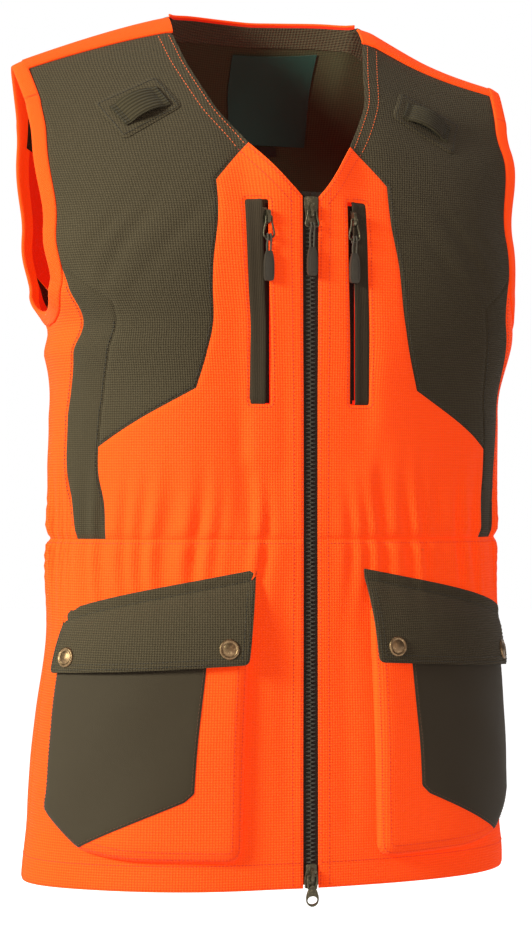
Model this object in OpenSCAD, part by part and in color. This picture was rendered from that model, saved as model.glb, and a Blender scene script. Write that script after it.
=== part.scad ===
// Field vest with a two-way front zip, chest zip pockets and cargo pockets.
// +X is the wearer's left, the front faces -Y, +Z is up.
// The origin is the neck seat, midway between the two shoulder seams.
// Cloth places are written as [u, z]: u runs round the body from the front
// zip (0) through the side seam (300) to the back centre (600).

/* [Body] */
// Half of the width at the underarm
chest_half_width = 216; // [180:1:260]
// Half of the width at the waist seam
waist_half_width = 200; // [170:1:240]
// Half of the width at the hem
hem_half_width = 214; // [180:1:260]
// From the side seam plane forward to the front zip
front_depth = 108; // [80:1:150]
// From the side seam plane back to the shoulder blades
back_depth = 108; // [80:1:150]
// From the side seam plane back to the hem
back_hem_depth = 122; // [80:1:150]
// From the neck seat down to the hem
body_length = 735; // [600:5:850]
// From the neck seat down to the waist seam
waist_drop = 448; // [380:1:520]
// From the neck seat down to the bottom of the armhole
armhole_drop = 268; // [220:1:320]
// Fall of the shoulder from the neck to the tip
shoulder_fall = 50; // [20:1:80]
// Half of the width of the neck opening at the shoulder seams
neck_half_width = 85; // [70:1:110]

/* [Cloth] */
// Thickness of the quilted shell and its lining
cloth = 2; // [1:0.1:4]
// Width of the armhole binding
binding_w = 9; // [5:0.5:15]
// Depth of a cargo pocket at its front part
pocket_depth = 9; // [6:1:35]
// Thickness of a pocket flap
flap_t = 2.4; // [1.5:0.1:4]
// Webbing thickness of the strap loops
webbing_t = 1.6; // [1:0.1:3]

/* [Front zip] */
// Height of the top end of the zip below the neck seat
zip_top = 165; // [140:1:200]
// Width of the closed chain
chain_w = 8; // [5:0.5:10]
// Thickness of the closed chain
chain_t = 2.8; // [2:0.1:4]
// Half of the gap between the two front edges
zip_gap = 7; // [5:0.5:10]
// Pitch of the drawn teeth
tooth_pitch = 6; // [2:0.5:8]

/* [Sliders] */
// Width of the front zip slider
slider_w = 12; // [9:0.5:15]
// Length of the front zip slider
slider_l = 22; // [18:1:32]
// Width of a chest zip slider
chest_slider_w = 9; // [6:0.5:12]
// Length of a chest zip slider
chest_slider_l = 16; // [12:1:22]
// Diameter of the pin that a pull turns on
pin_d = 2; // [1.5:0.1:3]
// Running clearance of the moving parts
clearance = 0.3; // [0.2:0.05:0.6]

/* [Snaps] */
// Diameter of a snap cap
snap_d = 16.5; // [10:0.5:20]
// Diameter of a snap stud
stud_d = 11; // [8:0.5:14]

/* [Hidden] */
$fn = 32;
orange = [1, 0.33, 0.1];
olive = [0.36, 0.31, 0.24];
dark_olive = [0.27, 0.23, 0.16];
zip_brown = [0.17, 0.12, 0.08];
metal = [0.5, 0.47, 0.42];
label_green = [0.09, 0.22, 0.19];

hem_z = -body_length;
waist_z = -waist_drop;
arm_z = -armhole_drop;
chest_y = -front_depth;

// ---- the body surface ----

// Value between two heights of a [z, value] table that runs downwards.
function at_height(keys, z, i = 0) =
  (i >= len(keys) - 2 || z >= keys[i + 1][0])
  ? let (t = max(0, min(1, (keys[i][0] - z) / (keys[i][0] - keys[i + 1][0]))),
         e = t * t * (3 - 2 * t))
    keys[i][1] * (1 - e) + keys[i + 1][1] * e
  : at_height(keys, z, i + 1);

widths = [[60, chest_half_width + 46], [-40, chest_half_width + 40],
  [-110, chest_half_width + 28], [-190, chest_half_width + 10],
  [arm_z, chest_half_width], [-340, waist_half_width + 3],
  [-440, waist_half_width], [-520, waist_half_width + 4],
  [-640, hem_half_width - 2], [-760, hem_half_width]];
back_depths = [[60, back_depth - 18], [-110, back_depth - 14],
  [-260, back_depth], [-440, back_depth - 8], [-760, back_hem_depth]];
// Fullness of the section: 2 is an ellipse, more is squarer.
fullness = [[60, 2.45], [-240, 2.5], [-330, 2.1], [-440, 2.05],
  [-760, 2.15]];

// Height of the shoulder ridge at a distance x from the middle.
function ridge(x, back) =
  -shoulder_fall * pow(max(0, min(1.2, (abs(x) - 70) / 148)), 1.25)
  + (back ? 52 * max(0, 1 - pow(x / neck_half_width, 2))
          : 60 * pow(max(0, 1 - pow(x / 55, 2)), 2));

// How far the cloth has come forward or back at a drop d below the ridge.
function lean(d, full) =
  let (s = sin(90 * max(0, min(1, d / full)))) sqrt(s * s + 0.2 * s * (1 - s));

function depth(x, z, back) =
  let (n = at_height(fullness, z), a = at_height(widths, z),
       b = back ? at_height(back_depths, z) : front_depth,
       k = pow(max(0, 1 - pow(min(1, abs(x) / a), n)), 1 / n))
  (back ? 1 : -1) * b * k * lean(ridge(x, back) - z, back ? 150 : 215);

// Point of the outer surface at [u, z].
function on_body(u, z) =
  let (w = u > 600 ? u - 1200 : u, q = min(abs(w), 600 - abs(w)) / 300,
       back = abs(w) > 300,
       phi = 90 * q - 2.15 * sin(360 * q),
       x = sign(w) * at_height(widths, z) * sin(phi))
  [x, depth(x, z, back), z];

function unit(v) = v / norm(v);
function body_normal(u, z) =
  unit(cross(on_body(u + 1, z) - on_body(u - 1, z),
             on_body(u, z + 1) - on_body(u, z - 1)));
function lifted(p, lift) =
  on_body(p[0], p[1]) + lift * body_normal(p[0], p[1]);

// Point over the shoulder: w runs from -1 at the front edge to 1 at the back.
function on_shoulder(x, w) =
  let (back = w > 0, z = ridge(x, back) - (back ? 34 : 19) * w * w)
  [x, depth(x, z, back), z];
function shoulder_normal(x, w) =
  unit(cross(on_shoulder(x + 1, w) - on_shoulder(x - 1, w),
             on_shoulder(x, w + 0.05) - on_shoulder(x, w - 0.05)));

// ---- building blocks ----

// Point at the fraction t of a list of corners, an equal share to each side.
function along(line, t) =
  let (m = len(line) - 1, s = min(m - 1, floor(t * m)), f = t * m - s)
  line[s] * (1 - f) + line[s + 1] * f;

// Grid of [u, z] that fills the space between four edges.
function filled(left, right, top, bottom, cols, rows) =
  [for (i = [0:rows]) [for (j = [0:cols])
    let (s = j / cols, t = i / rows)
    (1 - s) * along(left, t) + s * along(right, t)
    + (1 - t) * along(top, s) + t * along(bottom, s)
    - (1 - s) * (1 - t) * left[0] - s * (1 - t) * right[0]
    - (1 - s) * t * left[len(left) - 1] - s * t * right[len(right) - 1]]];

// Closed solid between two grids of points, the outer one seen from outside.
module between(outer, inner) {
  rows = len(outer); cols = len(outer[0]); half = rows * cols;
  points = [for (grid = [outer, inner]) for (row = grid) for (p = row) p];
  faces = [
    for (i = [0:rows - 2]) for (j = [0:cols - 2])
      let (a = i * cols + j, b = a + 1, c = b + cols, d = a + cols)
      each [[a, b, c], [a, c, d],
            [half + a, half + c, half + b], [half + a, half + d, half + c]],
    for (j = [0:cols - 2])
      let (a = j, d = (rows - 1) * cols + j)
      each [[a + 1, a, half + a], [a + 1, half + a, half + a + 1],
            [d, d + 1, half + d + 1], [d, half + d + 1, half + d]],
    for (i = [0:rows - 2])
      let (a = i * cols, b = a + cols - 1)
      each [[a, a + cols, half + a + cols], [a, half + a + cols, half + a],
            [b + cols, b, half + b], [b + cols, half + b, half + b + cols]]];
  polyhedron(points, faces);
}

// Cloth on the body: lift is the height of its outer face over the surface.
module cloth_patch(left, right, cols, rows, top = undef, bottom = undef,
                   t = cloth, lift = function(s, v) 0) {
  grid = filled(left, right,
    is_undef(top) ? [left[0], right[0]] : top,
    is_undef(bottom) ? [left[len(left) - 1], right[len(right) - 1]] : bottom,
    cols, rows);
  between(
    [for (i = [0:rows]) [for (j = [0:cols])
      lifted(grid[i][j], lift(j / cols, i / rows))]],
    [for (i = [0:rows]) [for (j = [0:cols])
      lifted(grid[i][j], lift(j / cols, i / rows) - t)]]);
}

// Both halves of the vest: -1 is the wearer's right, 1 the left.
module sided(side) { mirror([side < 0 ? 1 : 0, 0, 0]) children(); }

// Children stand on the body with -Y outward and +Z up along the cloth.
module placed(u, z, lift = 0, spin = 0) {
  n = body_normal(u, z);
  translate(lifted([u, z], lift))
    rotate([-asin(n[2]), 0, atan2(n[0], -n[1])])
      rotate([0, spin, 0]) children();
}

// A rod along X.
module rod_x(d, l) { rotate([0, 90, 0]) cylinder(d = d, h = l, center = true); }
// A round plate that faces -Y, with its back at y = 0.
module disc(d, h) { rotate([90, 0, 0]) cylinder(d = d, h = h); }

// ---- seams, written once for the wearer's left half ----

v_corner = [41, -119];
neck_edge = [[72, -19], [66, -50], [58, -85], v_corner];
yoke_edge = [v_corner, [63, -150], [70, -168], [73, -192], [79, -227],
  [86, -282], [100, -324]];
yoke_low = [188, -372];
armhole_front = [[178, -50], [179, -78], [184, -112], [190, -138],
  [197, -165], [204, -192], [209, -222], [218, -240], [240, -256],
  [270, -265], [300, arm_z]];
side_inner = [[165, -253], [171, -286], [181, -322], yoke_low,
  [188, -396], [183, -420], [182, waist_z]];
side_outer = [[209, -222], [208, -260], [222, -300], [233, -340],
  [233, -390], [224, -425], [218, waist_z]];
function backwards(line) =
  [for (p = line) [600 - p[0], p[1]]];
function reversed(line) = [for (i = [len(line) - 1:-1:0]) line[i]];

// ---- upper body ----

// Olive shoulder and chest piece from the neck edge to the armhole.
module front_yoke(side) {
  color(olive) sided(side) cloth_patch(
    concat(neck_edge, [for (i = [1:6]) yoke_edge[i]]),
    concat([for (i = [0, 1, 2, 4, 5, 6]) armhole_front[i]],
      [side_inner[0], side_inner[1], side_inner[2], yoke_low]),
    7, 18);
}

// Orange panel beside the zip, under the yoke and down to the waist.
module chest_panel(side) {
  gap = [for (z = [-zip_top, -178, -195, -213, -240, -275, -310, -335, -360,
    -385, -408, -428, waist_z]) [zip_gap, z]];
  color(orange) difference() {
    sided(side) cloth_patch(gap, concat(yoke_edge, [[130, -340.6], [160, -357]],
      [for (i = [3:6]) side_inner[i]]), 8, 24);
    at_chest_zip(side) translate([slot_x, -20, -chest_zip_l])
      cube([slot_w, 40, chest_zip_l]);
  }
}

// Olive stretch strip in front of the side seam.
module front_side_strip(side) {
  color(olive) sided(side)
    cloth_patch(side_inner, side_outer, 2, 12);
}

// Orange panel under the arm.
module underarm_panel(side) {
  front = concat([armhole_front[7]], [for (i = [1:6]) side_outer[i]]);
  color(orange) sided(side)
    cloth_patch(front, backwards(front), 6, 12,
      top = concat([for (i = [7:10]) armhole_front[i]],
        [for (i = [9:-1:7]) backwards(armhole_front)[i]]));
}

// Olive stretch strip behind the side seam.
module back_side_strip(side) {
  color(olive) sided(side)
    cloth_patch(backwards(side_outer), backwards(side_inner), 2, 12);
}

// Orange back from the shoulder seams to the waist.
module back_panel() {
  left = concat([for (i = [0:6]) backwards(armhole_front)[i]],
    backwards(side_inner));
  right = [for (p = left) [1200 - p[0], p[1]]];
  shoulder = [for (x = [207, 180, 150, 115, 86])
    [600 - u_at(x), ridge(x, false) - 4]];
  top = concat(shoulder, [[552, 2], [576, 8], [600, 10], [624, 8], [648, 2]],
    [for (p = reversed(shoulder)) [1200 - p[0], p[1]]]);
  color(orange) cloth_patch([for (i = [0:13]) i == 0 ? top[0] : left[i]],
    [for (i = [0:13]) i == 0 ? top[len(top) - 1] : right[i]],
    28, 26, top = top);
}
// Distance round the body of a point x from the middle near the shoulder.
function u_at(x) = 300 * solve_q(x / (chest_half_width + 40), 0, 1, 12);
function solve_q(s, lo, hi, left) =
  left == 0 ? (lo + hi) / 2
  : let (m = (lo + hi) / 2)
    sin(90 * m - 2.15 * sin(360 * m)) < s ? solve_q(s, m, hi, left - 1)
                                          : solve_q(s, lo, m, left - 1);

// Olive lining inside the upper back, which hangs clear of the shell.
lining_drop = 5.5;
module back_lining() {
  left = [[438, -66], [431, -90], [426, -112]];
  color(dark_olive) cloth_patch(left, [for (p = left) [1200 - p[0], p[1]]],
    16, 8, t = 1,
    top = [for (u = [438, 480, 520, 560, 600, 640, 680, 720, 762])
      [u, -14 - 52 * pow(abs(u - 600) / 162, 2)]],
    bottom = [for (u = [426, 470, 513, 556, 600, 644, 687, 730, 774])
      [u, -150 + 38 * pow(abs(u - 600) / 174, 2)]],
    lift = function(s, v) -lining_drop);
}

// Orange strip laid over the shoulder seam.
module shoulder_strip(side) {
  steps = [for (k = [6:-1:-5]) k / 6];
  xs = [85, 105, 125, 150, 180, 206];
  color(orange) sided(side) between(
    [for (w = concat(steps, [-1])) [for (x = xs)
      on_shoulder(x, w) + (cloth + 1) * shoulder_normal(x, w)]],
    [for (w = concat(steps, [-1])) [for (x = xs)
      on_shoulder(x, w) + 1 * shoulder_normal(x, w)]]);
}

// Facing behind the neck edge of a front, which carries two rows of stitches.
module neck_facing(side) {
  color(olive) sided(side) cloth_patch(
    [for (p = neck_edge) p + [0.5, 0]],
    [for (p = neck_edge) p + [13, 2]], 1, 6, t = 1,
    lift = function(s, v) -cloth - 1);
}

// Facing along the back neck.
module back_neck_facing() {
  line = [[540, 0], [560, 4], [580, 7], [600, 8], [620, 7], [640, 4],
    [660, 0]];
  color(olive) cloth_patch([line[0], line[0] - [0, 11]],
    [line[6], line[6] - [0, 11]], 12, 1, t = 1, top = line,
    bottom = [for (p = line) p - [0, 11]],
    lift = function(s, v) -cloth - 1.2);
}

// Bound edge right round an armhole.
module armhole_binding(side) {
  front = [for (i = [1:10]) armhole_front[i]];
  back = reversed([for (i = [1:9]) backwards(armhole_front)[i]]);
  seat = concat([for (p = concat(front, back)) on_body(p[0], p[1])],
    [[208, 8, ridge(208, true) - 5], [209, 0, ridge(209, false)],
     [208, -8, ridge(208, false) - 5]]);
  out = concat([for (p = concat(front, back)) body_normal(p[0], p[1])],
    [unit([0.5, 0.6, 1]), unit([0.5, 0, 1]), unit([0.5, -0.6, 1])]);
  n = len(seat);
  inward = [for (i = [0:n - 1])
    unit(cross(unit(seat[(i + 1) % n] - seat[(i + n - 1) % n]), out[i]))];
  ring = [for (i = [0:n - 1]) let (p = seat[i], m = out[i], b = -inward[i])
    [p + 0.6 * m + 0.6 * b, p + 0.6 * m + binding_w * b,
     p - 2.6 * m + binding_w * b, p - 2.6 * m + 0.6 * b]];
  points = [for (r = ring) each r];
  color(orange) sided(side) polyhedron(points,
    [for (i = [0:n - 1]) for (k = [0:3])
      let (a = i * 4 + k, b = i * 4 + (k + 1) % 4,
           c = ((i + 1) % n) * 4 + (k + 1) % 4, d = ((i + 1) % n) * 4 + k)
      each [[a, b, c], [a, c, d]]]);
}

// ---- skirt ----

// Orange front below the waist seam, from the zip to the side seam.
module front_skirt(side) {
  color(orange) sided(side) cloth_patch(
    [[zip_gap, waist_z], [zip_gap, hem_z]], [[300, waist_z], [300, hem_z]],
    14, 9);
}

// Orange back below the waist seam.
module back_skirt() {
  color(orange) cloth_patch([[300, waist_z], [300, hem_z]],
    [[900, waist_z], [900, hem_z]], 24, 9);
}

// Elastic casing inside the waist seam, from front to front.
module waist_casing() {
  color(orange) cloth_patch([[60, waist_z + 12], [60, waist_z - 12]],
    [[1140, waist_z + 12], [1140, waist_z - 12]], 44, 1, t = 1.5,
    lift = function(s, v) -cloth - 1.2);
}

// ---- cargo pockets ----

pocket_front = 56;
pocket_back = 243;
// Top corners of the flap at its fold, and the bottom of the flap.
flap_front = [52, -482];
flap_back = [232, -518];
flap_low = [[58, -550], [90, -552], [150, -556], [236, -560]];

// The bag gets flatter towards the side seam.
function rear(s) =
  let (t = max(0, min(1, (s - 0.4) / 0.59))) 1 - 0.45 * t * t * (3 - 2 * t);

// Height of the bag over the body: s runs to the side, v down.
function bag_lift(s, v) =
  let (edge = min(1, min(s, 1 - s) / 0.07),
       low = min(1, (1 - v) / 0.1),
       swell = (0.42 + 0.58 * sin(90 * min(1, v / 0.35))) * (1 - 0.1 * v)
               * rear(s))
  cloth + pocket_depth * sqrt(edge * (2 - edge)) * sqrt(low * (2 - low)) * swell;

bag_cols = [0, 0.02, 0.05, 0.1, 0.2, 0.3, 0.4, 0.5, 0.6, 0.7, 0.8, 0.9,
  0.95, 0.98, 1];
bag_rows = [0, 0.12, 0.26, 0.4, 0.54, 0.68, 0.8, 0.88, 0.94, 0.98, 1];
function bag_place(s, v) =
  [pocket_front + (pocket_back - pocket_front) * s + 4 * v,
   (-506 - 26 * s) * (1 - v) + (-712 + 12 * s * s) * v];

// Bellows bag, open at the top.
module cargo_pocket(side) {
  color(orange) sided(side) between(
    [for (v = bag_rows) [for (s = bag_cols)
      lifted(bag_place(s, v), bag_lift(s, v))]],
    [for (v = bag_rows) [for (s = bag_cols)
      lifted(bag_place(s, v), bag_lift(s, v) - cloth)]]);
}

// Smooth olive overlay on the outer part of the bag.
module pocket_overlay(side) {
  // Where the slanted front edge of the overlay is at the depth v.
  function edge(v) = v < 0.72 ? 0.18 + 0.03 * v : 0.2 + 2.1 * (v - 0.72);
  vs = [0.02, 0.12, 0.26, 0.4, 0.54, 0.68, 0.8, 0.88, 0.94];
  ss = [0, 0.3, 0.4, 0.5, 0.6, 0.7, 0.8, 0.9, 0.95, 0.98];
  function at(s, v) = max(s, edge(v) + 0.01 * s);
  color(dark_olive) sided(side) between(
    [for (v = vs) [for (s = ss)
      lifted(bag_place(at(s, v), v), bag_lift(at(s, v), v) + 1.7)]],
    [for (v = vs) [for (s = ss)
      lifted(bag_place(at(s, v), v), bag_lift(at(s, v), v) + 0.6)]]);
}

// Sewn band above the fold of the flap.
module flap_band(side) {
  color(olive) sided(side) cloth_patch(
    [flap_front + [0, 9], flap_front + [0, 0.6]],
    [flap_back + [0, 9], flap_back + [0, 0.6]], 9, 1, t = flap_t,
    lift = function(s, v) flap_t + 0.4);
}

// Height of the flap's outer face: it clears the mouth of the bag.
function flap_lift(s, v) =
  flap_t + 0.3 + (pocket_depth * 0.9 + 5.6) * (0.35 + 0.65 * rear(s))
  * sin(90 * pow(v, 0.8));

// Flap that folds up about a straight line on the outside of its curve.
module pocket_flap(side) {
  color(olive) sided(side) cloth_patch(
    [flap_front, flap_low[0]], [flap_back, flap_low[3]], 9, 5,
    t = flap_t, bottom = flap_low,
    lift = function(s, v) flap_lift(s, v));
}

snap_places = [[74, -537], [214, -546]];
function snap_lift(p) = flap_lift((p[0] - 55) / 179, 0.82) + 0.1;

// Domed caps through the flap.
module snap_caps(side) {
  color(metal) sided(side) for (p = snap_places)
    placed(p[0], p[1], snap_lift(p)) rotate([90, 0, 0]) rotate_extrude()
      polygon([[0, 0], [snap_d / 2 - 0.4, 0], [snap_d / 2, 0.5],
        [snap_d / 2 - 0.5, 1.5], [snap_d / 2 - 2, 1.3], [snap_d / 4, 1.9],
        [0, 2.3]]);
}

// Studs on the bags, one under each cap.
module snap_studs() {
  color(metal) for (side = [-1, 1]) sided(side) for (p = snap_places)
    let (s = (p[0] - pocket_front) / (pocket_back - pocket_front),
         v = (-p[1] - 506 - 26 * s) / 206)
    placed(p[0], p[1], bag_lift(s, v) + (s > 0.2 ? 2.25 : 0.5)) {
      disc(stud_d, 0.4);
      translate([0, -0.3, 0]) disc(stud_d - 5, 0.3);
    }
}

// ---- strap loops ----

loop_u = 107;
loop_z = -89;
loop_spin = -28;
loop_l = 62;
loop_w = 26;

// Stitched patch below the shoulder.
module strap_patch(side) {
  along_l = [-loop_l / 2, -loop_l / 4, 0, loop_l / 4, loop_l / 2];
  function at(a, b) =
    [loop_u + a * cos(loop_spin) * 0.83 + b * 0.2,
     loop_z + a * sin(loop_spin) * 0.95 + b * 0.8];
  color(olive) sided(side) between(
    [for (b = [14, 5, -5, -14]) [for (a = along_l) lifted(at(a, b), 1.9)]],
    [for (b = [14, 5, -5, -14]) [for (a = along_l) lifted(at(a, b), 0.5)]]);
}

// Webbing keeper, sewn down at both ends and open between them.
module strap_loop(side) {
  function rise(a) = 2 + 5 * pow(max(0, cos(180 * a / 50)), 0.7);
  function at(a, b) =
    [loop_u + a * cos(loop_spin) * 0.83 + b * 0.2,
     loop_z + a * sin(loop_spin) * 0.95 + b * 0.8];
  reach = [-25, -20, -14, -7, 0, 7, 14, 20, 25];
  color(olive) sided(side) between(
    [for (b = [8, -8]) [for (a = reach) lifted(at(a, b), rise(a) + webbing_t)]],
    [for (b = [8, -8]) [for (a = reach) lifted(at(a, b), rise(a))]]);
}

// ---- chest zip pockets ----

// Top end of the upright chest zip, and its length.
chest_zip_at = [40, 7.2 - front_depth, -171];
chest_zip_l = 165;
// How far the closed slider is below the top end.
chest_slider_drop = 12;
// The pull stands on the inner side of its slider, clear of the welt, and
// comes out through a slot in the panel.
chest_pull_x = -3;
slot_x = -7.2;
slot_w = 12.8;

// Children stand on the chest zip, with z = 0 at its top end.
module at_chest_zip(side) { sided(side) translate(chest_zip_at) children(); }
module at_chest_slider(side) {
  at_chest_zip(side) translate([0, 0, -chest_slider_drop]) children();
}
module at_chest_pull(side) {
  at_chest_slider(side) translate([chest_pull_x, chest_pin_y, 0]) children();
}

// Olive welt over the zip, sewn down on its outer side.
module chest_welt(side) {
  color(dark_olive) sided(side) cloth_patch(
    [[43, -168], [43.9, -252], [44.6, -337]],
    [[54, -168], [55.5, -252], [57, -337]], 2, 6, t = 1.4,
    lift = function(s, v) 2.2);
}

// Tape and chain of the chest zip.
module chest_zip(side) {
  color(zip_brown) at_chest_zip(side) for (half = [-1, 1]) sided(half) {
    translate([2, -0.4, -chest_zip_l]) cube([4, 0.8, chest_zip_l]);
    translate([slit / 2, -1.3, -chest_zip_l + 3])
      cube([2 - slit / 2, 2.6, chest_zip_l - 6]);
  }
}

// Slit between the halves of a chain, and the slider's post in it.
slit = 1.4;
post_t = 0.8;

// Slider body: two plates with a way for the chain and the tape, joined by
// a thin post that runs in the slit between the two halves of the chain.
module slider_body(w, l, gap_w, gap_t, slot) {
  plate = 1.4;
  h = gap_t + 2 * plate;
  way = (gap_w - post_t) / 2;
  difference() {
    translate([-w / 2, -h / 2, -l / 2]) cube([w, h, l]);
    for (x = [-post_t / 2 - way, post_t / 2])
      translate([x, -gap_t / 2, -l]) cube([way, gap_t, 2 * l]);
    for (x = [-post_t / 2 - w, post_t / 2])
      translate([x, -slot / 2, -l]) cube([w, slot, 2 * l]);
  }
}

// Bridge on a slider that the pull's pin turns in.
module bridge(face, pin_y) {
  difference() {
    translate([-1.2, pin_y - 2.4, -6]) cube([2.4, face + 2.8 - pin_y, 12]);
    translate([0, pin_y, 0]) rod_x(pin_d + 2 * clearance, 10);
  }
}

// Wire pull: a pin through the bridge, two arms that part towards the bottom
// and a bar for the cord.
module wire_pull(w, low_w, l) {
  tilt = atan2((low_w - w) / 2, l);
  rod_x(pin_d, w);
  for (k = [-1, 1]) {
    translate([k * w / 2, 0, 0]) {
      sphere(d = pin_d);
      rotate([0, 180 - k * tilt, 0]) cylinder(d = 1.6, h = l / cos(tilt));
    }
    translate([k * low_w / 2, 0, -l]) sphere(d = 1.6);
  }
  translate([0, 0, -l]) rod_x(1.6, low_w);
}

// Cord eye round the pull's bar, two strands and a moulded grip.
module cord_grip(strand, grip_w, grip_l) {
  rotate([0, 90, 0]) rotate_extrude()
    translate([2, 0]) circle(d = 1.7);
  for (x = [-0.9, 0.9]) translate([x * 1.6, 0, -strand])
    cylinder(d = 1.5, h = strand - 2.4);
  translate([0, 0, -strand - grip_l]) hull() {
    translate([0, 2, grip_l - 3]) rotate([90, 0, 0])
      cylinder(d = grip_w * 0.75, h = 4);
    translate([0, 2.2, grip_w / 2]) rotate([90, 0, 0])
      cylinder(d = grip_w, h = 4.4);
  }
}

// How far the pin of a chest pull stands in front of its chain, and the
// length of its wire.
chest_pin_y = -9.6;
chest_wire_l = 17;

module chest_slider(side) {
  color(metal) at_chest_slider(side) {
    slider_body(chest_slider_w, chest_slider_l, 4 + 2 * clearance,
      2.6 + 2 * clearance, 1.4);
    translate([chest_pull_x, 0, 0]) bridge(-3, chest_pin_y);
  }
}

module chest_pull(side) {
  color(metal) at_chest_pull(side) wire_pull(5, 8.2, chest_wire_l);
}

module chest_grip(side) {
  color(zip_brown) at_chest_pull(side) translate([0, 0, -chest_wire_l])
    cord_grip(13, 8.4, 23);
}

// ---- front zip ----

zip_y = chest_y + 2.6;

// One side of the zip tape, behind the front edge.
module zip_tape(side) {
  color(zip_brown) sided(side)
    translate([chain_w / 2, zip_y + 0.1, hem_z + 3])
      cube([13, 0.8, body_length - 3 - zip_top + 4]);
}

// Closed chain with its drawn teeth.
module zip_teeth() {
  low = hem_z + 3;
  high = -zip_top - 2;
  half_w = (chain_w - slit) / 2;
  color(metal) for (side = [-1, 1]) sided(side) {
    translate([slit / 2, zip_y - chain_t / 2, low])
      cube([half_w - 1, chain_t, high - low]);
    for (z = [low + 2:tooth_pitch:high - 3])
      translate([slit / 2, zip_y - chain_t / 2, z])
        cube([half_w, chain_t, tooth_pitch * 0.55]);
  }
}

// Stop under the bottom slider, across the end of the chain.
module zip_end_box() {
  color(metal) translate([-4.5, zip_y - 1.8, hem_z]) cube([9, 3.6, 1.7]);
}

top_slider_z = -zip_top - slider_l / 2 - 1;
bottom_slider_l = 18;
bottom_slider_z = hem_z + 2 + bottom_slider_l / 2;
pin_y = -5.5;
wire_l = 13;

module front_slider(l) {
  slider_body(slider_w, l, chain_w + 2 * clearance,
    chain_t + 2 * clearance, 2.2);
  bridge(-2.9, pin_y);
}

module top_slider() {
  color(metal) translate([0, zip_y, top_slider_z]) front_slider(slider_l);
}

module top_pull() {
  color(metal) translate([0, zip_y + pin_y, top_slider_z])
    wire_pull(7.4, 10.4, wire_l);
}

module top_grip() {
  color(zip_brown) translate([0, zip_y + pin_y, top_slider_z - wire_l])
    cord_grip(19, 8.4, 22);
}

module bottom_slider() {
  color(metal) translate([0, zip_y, bottom_slider_z])
    front_slider(bottom_slider_l);
}

// Flat metal pull: an eye on the pin, a neck and an oval ring.
module bottom_pull() {
  color(metal) translate([0, zip_y + pin_y, bottom_slider_z]) {
    rod_x(pin_d, 7.4);
    for (x = [-3.7, 3.7]) translate([x, 0, -10]) cylinder(d = 1.8, h = 10);
    translate([0, 0.9, -10]) rotate([90, 0, 0]) difference() {
      union() {
        translate([-4.6, -3, 0]) cube([9.2, 4, 1.8]);
        translate([0, -9, 0]) cylinder(d = 12, h = 1.8);
      }
      translate([0, -9, -1]) cylinder(d = 7.5, h = 4);
    }
  }
}

// ---- labels ----

// Satin label inside the back neck.
module neck_label() {
  color(label_green) cloth_patch([[560, -14], [562, -104]],
    [[624, -14], [622, -104]], 6, 5, t = 0.8,
    lift = function(s, v) -lining_drop - 1.6);
}

// Small tag under the label.
module size_tag() {
  color(zip_brown) cloth_patch([[584, -105], [584, -114]],
    [[602, -105], [602, -114]], 1, 1, t = 0.8,
    lift = function(s, v) -lining_drop - 1.6);
}

// ---- assembly ----

for (k = [0:1]) {
  side = 2 * k - 1;
  end = ["_r", "_l"][k];
  front_yoke(side);
  chest_panel(side);
  front_side_strip(side);
  underarm_panel(side);
  back_side_strip(side);
  shoulder_strip(side);
  neck_facing(side);
  armhole_binding(side);
  front_skirt(side);
  cargo_pocket(side);
  pocket_overlay(side);
  flap_band(side);
  pocket_flap(side);
  snap_caps(side);
  strap_patch(side);
  strap_loop(side);
  chest_welt(side);
  chest_zip(side);
  chest_slider(side);
  chest_pull(side);
  chest_grip(side);
  zip_tape(side);
}
back_panel();
back_lining();
back_neck_facing();
back_skirt();
waist_casing();
snap_studs();
zip_teeth();
zip_end_box();
top_slider();
top_pull();
top_grip();
bottom_slider();
bottom_pull();
neck_label();
size_tag();
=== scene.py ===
"""Visual model of the field vest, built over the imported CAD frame.

Cloth places are written as (u, z) in millimetres, as in the CAD source: u runs
round the body from the front zip (0) through the side seam (300) to the back
centre (600), and is negative on the wearer's right.
"""

import math
import bpy
import bmesh
import numpy as np
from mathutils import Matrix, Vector
from mathutils.geometry import delaunay_2d_cdt


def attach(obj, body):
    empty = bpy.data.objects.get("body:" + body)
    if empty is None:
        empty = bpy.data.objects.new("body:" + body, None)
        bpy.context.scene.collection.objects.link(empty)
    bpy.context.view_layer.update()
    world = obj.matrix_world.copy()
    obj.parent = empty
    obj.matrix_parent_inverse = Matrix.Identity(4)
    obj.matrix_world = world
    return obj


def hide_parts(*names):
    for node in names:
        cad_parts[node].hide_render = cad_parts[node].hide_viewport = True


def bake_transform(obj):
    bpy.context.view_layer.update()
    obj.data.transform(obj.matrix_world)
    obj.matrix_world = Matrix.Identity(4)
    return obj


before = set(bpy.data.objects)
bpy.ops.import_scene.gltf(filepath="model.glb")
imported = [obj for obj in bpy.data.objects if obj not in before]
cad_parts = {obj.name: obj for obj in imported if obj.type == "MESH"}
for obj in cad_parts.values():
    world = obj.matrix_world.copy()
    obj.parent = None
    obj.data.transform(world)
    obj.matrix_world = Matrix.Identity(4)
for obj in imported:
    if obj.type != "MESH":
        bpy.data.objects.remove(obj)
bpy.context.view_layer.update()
MM = 0.001


# ---------------------------------------------------------------- surface

CHEST, WAIST, HEM = 216.0, 200.0, 214.0
FRONT, BACK, BACK_HEM = 108.0, 108.0, 122.0
ARM_Z, WAIST_Z, HEM_Z = -268.0, -448.0, -735.0
CLOTH = 2.0

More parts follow.
